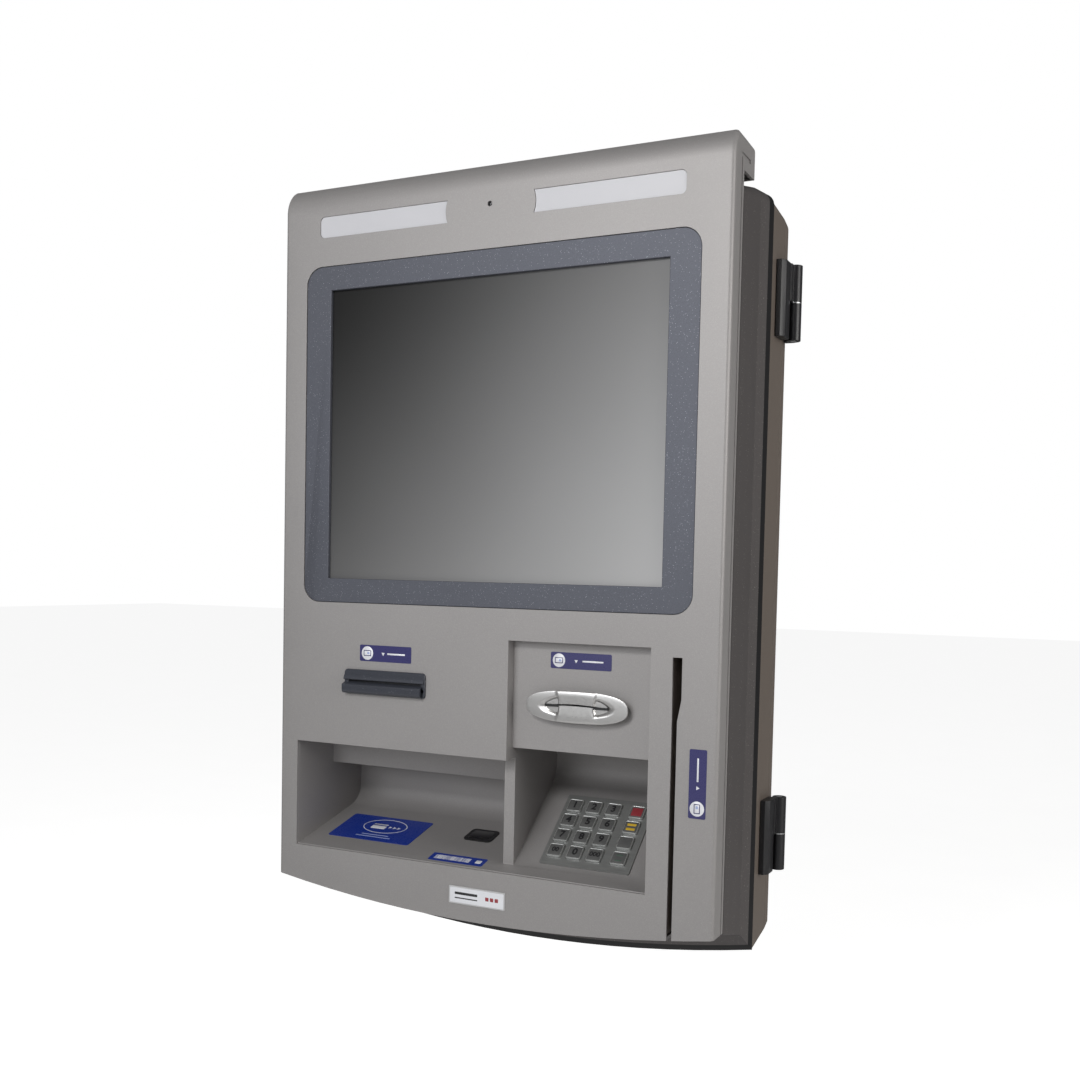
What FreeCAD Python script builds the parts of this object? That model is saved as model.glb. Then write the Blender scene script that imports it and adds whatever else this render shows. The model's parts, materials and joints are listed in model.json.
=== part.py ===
"""Wall-hung service terminal: a shallow wall tray and a deep door that carries every module.

Frame: +X right, +Y into the wall, +Z up. The origin is the centre of the four wall holes,
on the rear face of the tray. Depths (named *_d) are measured back from the front face.
"""
import FreeCAD, Part
import math
import os

V = FreeCAD.Vector

# ---------------------------------------------------------------- driving sizes (mm)
DEPTH = 157.0            # wall to front face
WALL = 3.0               # moulded shell
SURROUND_WALL = 4.0
SHEET = 2.0              # folded steel
FIT = 0.3                # gap round a piece that sits in a cut-out

# fascia
FASCIA_HALF = 247.3
FASCIA_SIDE_BOTTOM = -333.0
FASCIA_SAG = 20.0        # how far the bottom edge bows below its corners
FASCIA_TOP = 400.5
CROWN_DROP = 28.0        # height of the curved top of the front face
CROWN_DEPTH = 13.0
CAP_DEPTH = 60.0
CAP_BOTTOM = 369.0
CAP_FALL = 3.5
RETURN_DEPTH = 28.0
EDGE_ROUND = 4.0

# screen
SCREEN_W = 376.0
SCREEN_H = 301.0
SCREEN_Z = 140.0
BEZEL_SIDE = 30.5
BEZEL_TOP = 25.1
BEZEL_R = 19.0
BEZEL_SET = 0.8          # bezel face behind the fascia face
BEZEL_LIP = 6.0
GLASS_T = 3.0
GLASS_OVER = 8.0         # glass past the visible area
PANEL_T = 14.0
BRACKET_HALF = 238.0
BOSS_X = 232.0
BOSS_R = 4.5

# light bars and camera
BAR_IN = 48.3
BAR_OUT = 202.0
BAR_LOW = 345.5
BAR_HIGH = 366.9
BAR_R = 5.0
BAR_END_R = 30.0
BAR_SET = 0.8
CAMERA_Z = 359.0
LENS_R = 2.3

# alcoves
ALCOVE_X0 = -224.8
ALCOVE_X1 = 179.5
DIVIDER_X0 = 18.0
DIVIDER_X1 = 30.0
DIVIDER_SET = 20.0
LIP_Z = -299.2
FLOOR_ANGLE = 14.3
ALCOVE_TOP = -186.0
SHOULDER_Z = -218.5
SHOULDER_D = 66.0
LEFT_BACK_D = DEPTH - 36.0
RIGHT_BACK_D = DEPTH - 39.0
TUB_WALL = 2.5
RECESS_TOP = -67.0
RECESS_LOW = -174.0
RECESS_D = 12.0

# keypad
KEY_TILT = 39.1
KEY_START_D = 22.0
PAD_X0 = 56.0
PAD_X1 = 152.7
PAD_S0 = 4.9
PAD_S1 = 95.7
PAD_T = 1.5
PAD_RIM = 2.2            # plate past its cut-out
KEY_W = 16.0
KEY_H = 15.5
KEY_GAP = 0.3
KEY_RISE = 2.4
KEY_TRAVEL = 1.5
KEY_FLANGE = 1.0
KEY_COLUMNS = [68.5, 90.0, 111.5, 137.5]
KEY_ROWS = [80.8, 61.1, 41.4, 21.7]
KEY_NAMES = [["1", "2", "3", "cancel"], ["4", "5", "6", "clear"],
             ["7", "8", "9", "blank"], ["00", "0", "000", "enter"]]
PAD_BODY_T = 24.0

# card reader
READER_X = 103.0
READER_Z = -128.5
READER_HALF = 53.5
READER_RISE = 10.0
READER_HIGH = 15.5
CARD_SLOT_W = 66.0
CARD_SLOT_H = 2.4

# swipe slot
SWIPE_X0 = 201.6
SWIPE_X1 = 206.8
SWIPE_TOP = -75.0
SWIPE_D = 30.0

# receipt unit
MOUTH_X0 = -163.0
MOUTH_X1 = -64.0
MOUTH_Z = -118.0
MOUTH_H = 26.0
MOUTH_LIP = 8.0
SLOT_H = 6.4
PAPER_W = 80.0
PLATEN_R = 6.0
PLATEN_D = 24.0
PLATEN_Z = -126.0
ROLL_R = 30.0
ROLL_D = 80.0
ROLL_Z = -98.0
SPINDLE_R = 8.0
SHAFT_R = 2.5
RUN = 0.05               # running clearance on radius
MODULE = 1.0
GEAR_TEETH = 24
PINION_TEETH = 12
MESH_GAP = 0.3
GEAR_W = 4.0

# surround and frame: (depth, half width, top, side bottom, centre bottom)
SURROUND = [(28.3, 247.6, 358.0, -334.0, -354.0), (DEPTH - 80.0, 249.5, 369.0, -347.0, -368.0),
            (DEPTH - 58.0, 256.0, 368.0, -367.0, -391.0)]
FRAME = [(DEPTH - 56.5, 255.6, 366.0, -366.0, -389.0), (DEPTH - 15.5, 256.0, 361.0, -357.0, -367.0)]
TRAY = [(DEPTH - 15.0, 256.0, 361.0, -357.0, -367.0), (DEPTH, 255.0, 359.0, -353.0, -359.0)]
CORNER_R = 12.0
FLANGE = 16.0

# wall fixing
HOLE_X = 400.0
HOLE_Z = 560.0
HOLE_R = 4.5
ENTRY_X = 150.0
ENTRY_Z = 150.0
ENTRY_R = 14.0
GROMMET_R = 20.0

# hinges
HINGE_X = 266.0
HINGE_D = DEPTH - 10.0
HINGE_H = 74.0
HINGE_Z = [272.0, -258.0]
KNUCKLE_R = 7.0
PIN_R = 3.0
WASHER_T = 1.0

# lock
LOCK_D = DEPTH - 32.0
LOCK_Z = 0.0
LOCK_R = 9.5
CAM_X = -236.0
CAM_T = 3.0
HOOK_IN = 21.0
HOOK_OUT = 27.0
KEEPER_R = 16.0
KEEPER_ANGLE = 125.0
KEEPER_PIN_R = 3.0

# fan
FAN_X = 50.0
FAN_Z = 130.0
FAN_SIZE = 60.0
FAN_T = 15.0
FAN_R = 26.0
FAN_BLADES = 7
FAN_SHAFT_R = 2.0
BOX_T = 40.0


# ---------------------------------------------------------------- shape helpers
def at(x, d, z):
    return V(x, d - DEPTH, z)


def box(x0, x1, d0, d1, z0, z1):
    return Part.makeBox(x1 - x0, d1 - d0, z1 - z0, at(x0, d0, z0))


def rod_x(r, x0, x1, d, z):
    return Part.makeCylinder(r, x1 - x0, at(x0, d, z), V(1, 0, 0))


def rod_y(r, d0, d1, x, z):
    return Part.makeCylinder(r, d1 - d0, at(x, d0, z), V(0, 1, 0))


def rod_z(r, z0, z1, x, d):
    return Part.makeCylinder(r, z1 - z0, at(x, d, z0), V(0, 0, 1))


def rounded(x0, x1, z0, z1, r, d0, d1):
    """Block with its four corners rounded in the front view."""
    block = box(x0, x1, d0, d1, z0, z1)
    edges = [e for e in block.Edges if abs(e.tangentAt(e.FirstParameter).y) > 0.99]
    return block.makeFillet(r, edges)


def profile_x(path, x0, x1):
    """Extrude a side outline along X. A point is (depth, z); a triple of points is an arc."""
    edges = []
    last = at(x0, *path[0])
    for step in path[1:]:
        if isinstance(step[0], tuple):
            end = at(x0, *step[1])
            edges.append(Part.Arc(last, at(x0, *step[0]), end).toShape())
        else:
            end = at(x0, *step)
            edges.append(Part.LineSegment(last, end).toShape())
        last = end
    edges.append(Part.LineSegment(last, at(x0, *path[0])).toShape())
    return Part.Face(Part.Wire(edges)).extrude(V(x1 - x0, 0, 0))


def outline(d, half, top, side_low, mid_low, r):
    """Front outline with a bowed bottom edge and two rounded top corners."""
    k = r * (1 - math.sqrt(0.5))
    points = [at(-half, d, side_low), at(half, d, side_low), at(half, d, top - r),
              at(half - r, d, top), at(-half + r, d, top), at(-half, d, top - r)]
    return Part.Wire([
        Part.Arc(points[0], at(0, d, mid_low), points[1]).toShape(),
        Part.LineSegment(points[1], points[2]).toShape(),
        Part.Arc(points[2], at(half - k, d, top - k), points[3]).toShape(),
        Part.LineSegment(points[3], points[4]).toShape(),
        Part.Arc(points[4], at(-half + k, d, top - k), points[5]).toShape(),
        Part.LineSegment(points[5], points[0]).toShape()])


def inset(section, wall):
    d, half, top, side_low, mid_low = section
    return (d, half - wall, top - wall, side_low + wall, mid_low + wall)


def loft(sections, r, wall=0.0):
    wires = [outline(*inset(s, wall), r) for s in sections]
    return Part.makeLoft(wires, True, True)


def stretched(sections, ends=1.0):
    """The same run of sections, carried on a little past both ends."""
    first = (sections[0][0] - ends,) + sections[0][1:]
    last = (sections[-1][0] + ends,) + sections[-1][1:]
    return [first] + list(sections) + [last]


def tilted(shape, angle, d, z):
    """Move a shape from slope coordinates (x, along, normal) to its place."""
    shape.rotate(V(0, 0, 0), V(1, 0, 0), angle)
    shape.translate(at(0, d, z))
    return shape


def slope_box(x0, x1, s0, s1, n0, n1):
    return Part.makeBox(x1 - x0, s1 - s0, n1 - n0, V(x0, s0, n0))


def slope_rounded(x0, x1, s0, s1, n0, n1, r):
    block = slope_box(x0, x1, s0, s1, n0, n1)
    edges = [e for e in block.Edges if abs(e.tangentAt(e.FirstParameter).z) > 0.99]
    return block.makeFillet(r, edges)


def fuse(shapes):
    whole = shapes[0].multiFuse(shapes[1:]) if len(shapes) > 1 else shapes[0]
    return whole.removeSplitter()


def save(name, *shapes):
    """Write a node; several shapes are a group of separate solids."""
    solids = [s for shape in shapes for s in shape.Solids]
    out = solids[0] if len(solids) == 1 else Part.makeCompound(solids)
    assert all(s.isValid() for s in solids), name
    out.exportStep("parts/%s.step" % name)
    print("%-22s %2d solid(s) %10.0f mm3" % (name, len(solids), out.Volume))


def floor_z(d):
    return LIP_Z + d * math.tan(math.radians(FLOOR_ANGLE))


KEY_START_Z = floor_z(KEY_START_D)
BEZEL_HALF = SCREEN_W / 2 + BEZEL_SIDE
BEZEL_LOW = SCREEN_Z - SCREEN_H / 2 - BEZEL_TOP
BEZEL_HIGH = SCREEN_Z + SCREEN_H / 2 + BEZEL_TOP
GLASS_D = WALL + SHEET                   # the glass lies on the back of the bezel
PANEL_D = GLASS_D + GLASS_T
BRACKET_D = PANEL_D + PANEL_T
BOSSES = [(x, z) for x in (-BOSS_X, BOSS_X) for z in (SCREEN_Z - 155, SCREEN_Z, SCREEN_Z + 155)]


# ---------------------------------------------------------------- wall side
def wall_tray():
    shell = loft(TRAY, CORNER_R)
    hollow = loft([(TRAY[0][0] - 1,) + TRAY[0][1:], (DEPTH - SHEET,) + TRAY[1][1:]],
                  CORNER_R - SHEET, SHEET)
    holes = [rod_y(HOLE_R, DEPTH - 9, DEPTH + 1, x, z)
             for x in (-HOLE_X / 2, HOLE_X / 2) for z in (-HOLE_Z / 2, HOLE_Z / 2)]
    entry = rod_y(GROMMET_R, DEPTH - 9, DEPTH + 1, ENTRY_X, ENTRY_Z)
    return shell.cut(hollow).cut(Part.makeCompound(holes + [entry]))


def cable_grommet():
    ring = rod_y(GROMMET_R, DEPTH - SHEET, DEPTH, ENTRY_X, ENTRY_Z)
    lip = rod_y(GROMMET_R + 4, DEPTH - SHEET - 4, DEPTH - SHEET, ENTRY_X, ENTRY_Z)
    return fuse([ring, lip]).cut(rod_y(ENTRY_R, DEPTH - 9, DEPTH + 1, ENTRY_X, ENTRY_Z))


def power_supply():
    back = DEPTH - SHEET
    body = rounded(-200, -70, 60, 230, 2.0, back - 40, back)
    vents = [box(-190 + i * 12, -184 + i * 12, back - 41, back - 38.5, 80, 210)
             for i in range(10)]
    return body.cut(Part.makeCompound(vents))


def lock_keeper():
    back = DEPTH - SHEET
    a = math.radians(KEEPER_ANGLE)
    d, z = LOCK_D + KEEPER_R * math.sin(a), LOCK_Z + KEEPER_R * math.cos(a)
    foot = box(-250, -222, back - SHEET, back, z - 14, z + 14)
    arm = box(-229, -226, d - 6, back - SHEET, z - 6, z + 6)
    pin = rod_x(KEEPER_PIN_R, CAM_X - 2, -229, d, z)
    return fuse([foot, arm, pin])


# ---------------------------------------------------------------- hinges
def hinge_wall_leaf(z):
    low, mid = z - HINGE_H / 2, z - WASHER_T / 2
    wall_x = TRAY[0][1]
    knuckle = rod_z(KNUCKLE_R, low, mid, HINGE_X, HINGE_D)
    web = box(wall_x, HINGE_X, HINGE_D, DEPTH - 2, low, mid)
    return fuse([knuckle, web]).cut(rod_z(PIN_R, low - 1, mid + 1, HINGE_X, HINGE_D))


def hinge_door_leaf(z):
    low, mid, high = z - HINGE_H / 2, z + WASHER_T / 2, z + HINGE_H / 2
    wall_x = FRAME[1][1]
    block = profile_z([(wall_x, 113), (wall_x + 5, 113), (wall_x + 9, 118), (wall_x + 9, 134),
                       (wall_x + 5, 137), (wall_x, 137)], low, high)
    knuckle = rod_z(KNUCKLE_R, mid, high, HINGE_X, HINGE_D)
    web = box(wall_x, HINGE_X, FRAME[1][0] - 7.5, FRAME[1][0], mid, high)
    bridge = box(wall_x + 4, HINGE_X, FRAME[1][0] - 1, HINGE_D, mid, high)
    bore = rod_z(PIN_R + RUN, mid - 1, high + 1, HINGE_X, HINGE_D)
    return fuse([block, knuckle, web, bridge]).cut(bore)


def profile_z(points, z0, z1):
    """Extrude a plan outline of (x, depth) points upwards."""
    path = [at(x, d, z0) for x, d in points]
    return Part.Face(Part.makePolygon(path + path[:1])).extrude(V(0, 0, z1 - z0))


def hinge_pin(z):
    return rod_z(PIN_R, z - HINGE_H / 2, z + HINGE_H / 2, HINGE_X, HINGE_D)


def hinge_washer(z):
    ring = rod_z(KNUCKLE_R, z - WASHER_T / 2, z + WASHER_T / 2, HINGE_X, HINGE_D)
    return ring.cut(rod_z(PIN_R + RUN, z - 2, z + 2, HINGE_X, HINGE_D))


# ---------------------------------------------------------------- door shells
def door_frame():
    shell = loft(FRAME, CORNER_R)
    hollow = loft(stretched(FRAME), CORNER_R - SHEET, SHEET)
    front = FRAME[0]
    flange = loft([front, (front[0] + SHEET,) + front[1:]], CORNER_R)
    window = loft(stretched([front, (front[0] + SHEET,) + front[1:]]), CORNER_R, FLANGE)
    lock_hole = rod_x(LOCK_R + FIT / 2, -260, -250, LOCK_D, LOCK_Z)
    inner = loft([front, FRAME[1]], CORNER_R - SHEET, SHEET / 2)
    return fuse([shell.cut(hollow), flange.cut(window).common(inner)]).cut(lock_hole)


def surround():
    shell = loft(SURROUND[:2], CORNER_R).fuse(loft(SURROUND[1:], CORNER_R))
    wall = SURROUND_WALL
    hollow = loft(stretched(SURROUND[:2], 0.5), CORNER_R - wall, wall).fuse(
        loft(stretched(SURROUND[1:], 0.5), CORNER_R - wall, wall))
    back = SURROUND[-1]
    seat = FRAME[0][0]
    rim = [(back[0] - 2, ) + back[1:], (seat, ) + back[1:]]
    flange = loft([inset(s, 2.5) for s in rim], CORNER_R)
    window = loft(stretched(rim), CORNER_R, FLANGE)
    tongue_out = inset((SURROUND[0][0], FASCIA_HALF, 358.0, FASCIA_SIDE_BOTTOM,
                        FASCIA_SIDE_BOTTOM - FASCIA_SAG), WALL + FIT)
    run = [(SURROUND[0][0] - 12,) + tongue_out[1:], (SURROUND[0][0] + 3,) + tongue_out[1:]]
    tongue = loft(run, CORNER_R).cut(loft(stretched(run), CORNER_R, WALL))
    notch = box(SWIPE_X0 - 5, SWIPE_X1 + 8, 0, SWIPE_D + 4, -360, -300)
    return fuse([shell.cut(hollow), flange.cut(window), tongue.cut(notch)])


def fascia_block(wall, back, cap_back):
    """The fascia's outer form, or the same form drawn in by a wall."""
    top = FASCIA_TOP - wall
    crown = (CROWN_DEPTH * 0.25 + wall, FASCIA_TOP - CROWN_DROP * 0.42 - wall)
    side = profile_x([(wall, -420.0), (wall, FASCIA_TOP - CROWN_DROP - wall),
                      (crown, (CROWN_DEPTH + wall, top)), (cap_back, top - CAP_FALL),
                      (cap_back, CAP_BOTTOM), (back, CAP_BOTTOM), (back, -420.0)],
                     -FASCIA_HALF, FASCIA_HALF)
    half = FASCIA_HALF - wall
    section = (wall, half, FASCIA_TOP + 5.0, FASCIA_SIDE_BOTTOM + wall,
               FASCIA_SIDE_BOTTOM - FASCIA_SAG + wall)
    front = loft([(-1.0,) + section[1:], (CAP_DEPTH + 5.0,) + section[1:]], CORNER_R)
    return side.common(front)


def bezel_opening(margin, d0, d1):
    return rounded(-BEZEL_HALF - margin, BEZEL_HALF + margin, BEZEL_LOW - margin,
                   BEZEL_HIGH + margin, BEZEL_R + margin, d0, d1)


def bar_form(side, margin, d0, d1):
    """Light bar outline: rounded outer end, hollowed inner end."""
    x0, x1 = BAR_IN - margin, BAR_OUT + margin
    body = rounded(x0 - 10, x1, BAR_LOW - margin, BAR_HIGH + margin, BAR_R + margin, d0, d1)
    mid = (BAR_LOW + BAR_HIGH) / 2
    half = (BAR_HIGH - BAR_LOW) / 2
    centre = x0 - math.sqrt(BAR_END_R ** 2 - half ** 2)
    body = body.cut(rod_y(BAR_END_R, d0 - 1, d1 + 1, centre, mid))
    body = body.cut(box(x0 - 11, x0, d0 - 1, d1 + 1, BAR_LOW - 20, BAR_HIGH + 20))
    return body if side > 0 else body.mirror(V(0, 0, 0), V(1, 0, 0))


def swipe_cut(d1):
    """Slot open to the front and out of the bottom edge, wider at the top."""
    wide = [(SWIPE_X0 - 0.6, SWIPE_TOP), (SWIPE_X1 + 3.7, SWIPE_TOP),
            (SWIPE_X1 + 3.7, SWIPE_TOP - 39), (SWIPE_X1, SWIPE_TOP - 59),
            (SWIPE_X1, -360.0), (SWIPE_X0, -360.0), (SWIPE_X0, SWIPE_TOP - 59)]
    path = [at(x, -12.0, z) for x, z in wide]
    return Part.Face(Part.makePolygon(path + path[:1])).extrude(V(0, d1 + 12.0, 0))


def side_groove(side):
    """L-shaped joint line on the side: a slit under the cap and a groove below it."""
    x = FASCIA_HALF
    slit = box(x - 1.6, x + 1, 21.0, 47.0, 379.5, 383.5)
    groove = box(x - 1.2, x + 1, 21.0, 23.2, -360.0, 381.0)
    cut = slit.fuse(groove)
    return cut if side > 0 else cut.mirror(V(0, 0, 0), V(1, 0, 0))


def fascia():
    outer = fascia_block(0.0, RETURN_DEPTH, CAP_DEPTH)
    rims = [e for e in outer.Edges if e.BoundBox.ZLength > 500 and e.BoundBox.YLength < 1e-3
            and abs(e.BoundBox.YMin + DEPTH) < 1e-3]
    outer = outer.makeFillet(EDGE_ROUND, rims)
    inner = fascia_block(WALL, RETURN_DEPTH + 1, CAP_DEPTH - WALL)
    inner = inner.fuse(box(-FASCIA_HALF + WALL, FASCIA_HALF - WALL, WALL + 8, CAP_DEPTH - WALL,
                           CAP_BOTTOM - 5, CAP_BOTTOM + 1))
    cuts = [inner, bezel_opening(FIT, -1, WALL + 1), swipe_cut(WALL + 40),
            rod_y(LENS_R + FIT, -1, WALL + 1, 0, CAMERA_Z),
            rounded(MOUTH_X0 + 4, MOUTH_X1 - 4, MOUTH_Z - MOUTH_H / 2 + 3,
                    MOUTH_Z + MOUTH_H / 2 - 3, 4.0, -1, WALL + 1),
            box(ALCOVE_X0, ALCOVE_X1, -1, WALL + 1, LIP_Z, ALCOVE_TOP),
            box(DIVIDER_X1, ALCOVE_X1, -1, WALL + 1, LIP_Z, RECESS_TOP)]
    cuts += [bar_form(s, FIT, -1, WALL + 1) for s in (-1, 1)]
    cuts += [side_groove(s) for s in (-1, 1)]
    shell = outer.cut(Part.makeCompound(cuts))
    posts = [rod_y(BOSS_R, WALL, BRACKET_D, x, z).cut(rod_y(1.6, WALL + 5, 60, x, z))
             for x, z in BOSSES]
    return fuse([shell] + posts)


def left_void_path(front):
    cove = LEFT_BACK_D - 21.0
    return [(front, floor_z(front)), (cove, floor_z(cove)),
            ((LEFT_BACK_D - 6.2, floor_z(cove) + 8.2), (LEFT_BACK_D, floor_z(cove) + 24.0)),
            (LEFT_BACK_D, SHOULDER_Z), (SHOULDER_D, SHOULDER_Z), (SHOULDER_D, ALCOVE_TOP),
            (front, ALCOVE_TOP)]


def right_void_path(front):
    tilt = math.tan(math.radians(KEY_TILT))
    top_d = RIGHT_BACK_D - 13.0
    top_z = KEY_START_Z + (top_d - KEY_START_D) * tilt
    return [(front, floor_z(front)), (KEY_START_D, KEY_START_Z), (top_d, top_z),
            ((RIGHT_BACK_D - 3.2, top_z + 9.5), (RIGHT_BACK_D, top_z + 22.0)),
            (RIGHT_BACK_D, RECESS_LOW), (front, RECESS_LOW)]


def grown(path, x0, x1):
    """A side outline offset outwards by the tub wall, then extruded."""
    face = profile_x(path, x0, x0 + 1).Faces
    flat = [f for f in face if abs(f.CenterOfMass.x - x0) < 1e-6][0]
    return flat.makeOffset2D(TUB_WALL, 2).extrude(V(x1 - x0, 0, 0))


def shelf_tub():
    front = WALL
    left, right = left_void_path(front), right_void_path(front)
    outer = grown(left, ALCOVE_X0 - TUB_WALL, DIVIDER_X1).fuse(
        grown(right, DIVIDER_X0, ALCOVE_X1 + TUB_WALL))
    clip = box(-300, 300, front, 200, -400, -100)
    voids = [profile_x(left_void_path(front - 2), ALCOVE_X0, DIVIDER_X0),
             profile_x(right_void_path(front - 2), DIVIDER_X1, ALCOVE_X1),
             profile_x([(front - 2, floor_z(front - 2)), (DIVIDER_SET, floor_z(DIVIDER_SET)),
                        (DIVIDER_SET, ALCOVE_TOP), (front - 2, ALCOVE_TOP)],
                       DIVIDER_X0 - 1, DIVIDER_X1 + 1),
             box(DIVIDER_X1, ALCOVE_X1, 0, RECESS_D + WALL, -180, -150),
             tilted(slope_box(PAD_X0 + PAD_RIM, PAD_X1 - PAD_RIM, PAD_S0 + 4, PAD_S1 - 4, -20, 20),
                    KEY_TILT, KEY_START_D, KEY_START_Z),
             tilted(slope_box(-47.8, -19.2, 59.7, 81.7, -20, 20), FLOOR_ANGLE, 0, LIP_Z)]
    return outer.common(clip).cut(Part.makeCompound(voids)).removeSplitter()


def card_panel():
    back = RECESS_D + WALL
    tray = box(DIVIDER_X1 - 2.5, ALCOVE_X1 + 2.5, WALL, back, RECESS_LOW + TUB_WALL,
               RECESS_TOP + 2.5).fuse(box(DIVIDER_X1, ALCOVE_X1, RECESS_D, back, RECESS_LOW, 0))
    tray = tray.common(box(-300, 300, 0, back, RECESS_LOW, RECESS_TOP + 2.5))
    air = box(DIVIDER_X1, ALCOVE_X1, 0, RECESS_D, RECESS_LOW - 1, RECESS_TOP)
    throat = box(READER_X - CARD_SLOT_W / 2 - 4, READER_X + CARD_SLOT_W / 2 + 4, 0, 40,
                 READER_Z - 6, READER_Z + 6)
    return tray.cut(air).cut(throat).removeSplitter()


# ---------------------------------------------------------------- screen unit
def screen_bezel():
    front = bezel_opening(0.0, BEZEL_SET, WALL)
    lip = bezel_opening(BEZEL_LIP, WALL, GLASS_D)
    half = SCREEN_W / 2
    window = box(-half, half, -1, 20, SCREEN_Z - SCREEN_H / 2, SCREEN_Z + SCREEN_H / 2)
    return fuse([front, lip]).cut(window)


def touch_glass():
    half = SCREEN_W / 2 + GLASS_OVER
    z = SCREEN_H / 2 + GLASS_OVER
    return rounded(-half, half, SCREEN_Z - z, SCREEN_Z + z, 2.0, GLASS_D, PANEL_D)


def display_module():
    half = SCREEN_W / 2 + GLASS_OVER + 2
    z = SCREEN_H / 2 + GLASS_OVER + 2
    body = rounded(-half, half, SCREEN_Z - z, SCREEN_Z + z, 3.0, PANEL_D, BRACKET_D)
    pocket = box(-half + 30, half - 30, BRACKET_D - 4, BRACKET_D + 1, SCREEN_Z - z + 30,
                 SCREEN_Z - z + 34)
    return body.cut(pocket)


def display_bracket():
    low, high = SCREEN_Z - 162, SCREEN_Z + 162
    plate = rounded(-BRACKET_HALF, BRACKET_HALF, low, high, 6.0, BRACKET_D, BRACKET_D + SHEET)
    folds = [box(-200, 200, BRACKET_D + SHEET, BRACKET_D + 14, z, z + SHEET)
             for z in (low, high - SHEET)]
    slots = [box(-180 + i * 24, -174 + i * 24, BRACKET_D - 1, BRACKET_D + 5, 250, 285)
             for i in range(16)]
    holes = [rod_y(1.8, BRACKET_D - 1, BRACKET_D + 5, x, z) for x, z in BOSSES]
    return fuse([plate] + folds).cut(Part.makeCompound(slots + holes))


def bracket_screws():
    back = BRACKET_D + SHEET
    return [fuse([rod_y(1.5, back - 12, back, x, z), rod_y(3.5, back, back + 2.5, x, z)])
            for x, z in BOSSES]


def light_bar(side):
    return fuse([bar_form(side, 0.0, BAR_SET, WALL),
                 bar_form(side, 4.0, WALL, WALL + 2)])


def light_board(side):
    x0, x1 = sorted((side * (BAR_IN + 4), side * (BAR_OUT - 2)))
    mid = (BAR_LOW + BAR_HIGH) / 2
    board = box(x0, x1, WALL + 2, WALL + 3.6, mid - 8, mid + 8)
    chips = [box(x0 + 8 + i * 14, x0 + 11 + i * 14, WALL + 3.6, WALL + 4.6, mid - 1.5, mid + 1.5)
             for i in range(10)]
    return fuse([board] + chips)


def camera_module():
    body = rounded(-14, 14, CAMERA_Z - 9, CAMERA_Z + 9, 2.0, WALL, WALL + 12)
    return fuse([body, rod_y(LENS_R, 0.6, WALL, 0, CAMERA_Z)])


def controller_box():
    front = BRACKET_D + SHEET
    body = rounded(-100, 100, 40, 220, 3.0, front, front + BOX_T)
    fins = [box(-92 + i * 8, -88 + i * 8, front + BOX_T - 6, front + BOX_T + 1, 50, 210)
            for i in range(12)]
    return body.cut(Part.makeCompound(fins))


FAN_D = BRACKET_D + SHEET + BOX_T


def fan_housing():
    half = FAN_SIZE / 2
    body = rounded(FAN_X - half, FAN_X + half, FAN_Z - half, FAN_Z + half, 3.0,
                   FAN_D, FAN_D + FAN_T)
    ring = body.cut(rod_y(FAN_R + 1.5, FAN_D - 1, FAN_D + FAN_T + 1, FAN_X, FAN_Z))
    hub = rod_y(9.0, FAN_D, FAN_D + 3, FAN_X, FAN_Z)
    arms = [box(FAN_X - half + 1, FAN_X + half - 1, FAN_D, FAN_D + 2, FAN_Z - 2, FAN_Z + 2),
            box(FAN_X - 2, FAN_X + 2, FAN_D, FAN_D + 2, FAN_Z - half + 1, FAN_Z + half - 1)]
    bore = rod_y(FAN_SHAFT_R + RUN, FAN_D - 1, FAN_D + 4, FAN_X, FAN_Z)
    return fuse([ring, hub] + arms).cut(bore)


def fan_rotor():
    front = FAN_D + 3.3
    back = FAN_D + FAN_T - 1
    hub = rod_y(11.0, front, back, FAN_X, FAN_Z)
    shaft = rod_y(FAN_SHAFT_R, FAN_D + 0.4, front, FAN_X, FAN_Z)
    blades = []
    for i in range(FAN_BLADES):
        blade = Part.makeBox(1.2, back - front - 1, FAN_R - 10, V(-0.6, 0, 10))
        blade.rotate(V(0, (back - front) / 2, 0), V(0, 0, 1), 28)
        blade.rotate(V(0, 0, 0), V(0, 1, 0), 360.0 / FAN_BLADES * i)
        blade.translate(at(FAN_X, front + 0.5, FAN_Z))
        blades.append(blade)
    space = rod_y(FAN_R, front, back, FAN_X, FAN_Z)
    return fuse([hub, shaft] + blades).common(space.fuse(shaft)).removeSplitter()


# ---------------------------------------------------------------- receipt unit
def receipt_mouth():
    z0, z1 = MOUTH_Z - MOUTH_H / 2, MOUTH_Z + MOUTH_H / 2
    plate = rounded(MOUTH_X0, MOUTH_X1, z0, z1, 5.0, -3.0, 0.0)
    neck = rounded(MOUTH_X0 + 4 + FIT, MOUTH_X1 - 4 - FIT, z0 + 3 + FIT, z1 - 3 - FIT, 3.5,
                   0.0, WALL)
    lip = profile_x([(-3.0, z0 + 1), (-MOUTH_LIP, z0 + 3), (-MOUTH_LIP, z0 + 7),
                     (-3.0, z0 + 9)], MOUTH_X0 + 3, MOUTH_X1 - 3)
    hood = profile_x([(-3.0, z1 - 8), (-5.5, z1 - 7), (-5.5, z1 - 3), (-3.0, z1 - 1)],
                     MOUTH_X0 + 3, MOUTH_X1 - 3)
    mid = (MOUTH_X0 + MOUTH_X1) / 2
    slot = box(mid - PAPER_W / 2 - 2, mid + PAPER_W / 2 + 2, -20, 30,
               MOUTH_Z - SLOT_H / 2, MOUTH_Z + SLOT_H / 2)
    return fuse([plate, neck, lip, hood]).cut(slot)


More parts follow.
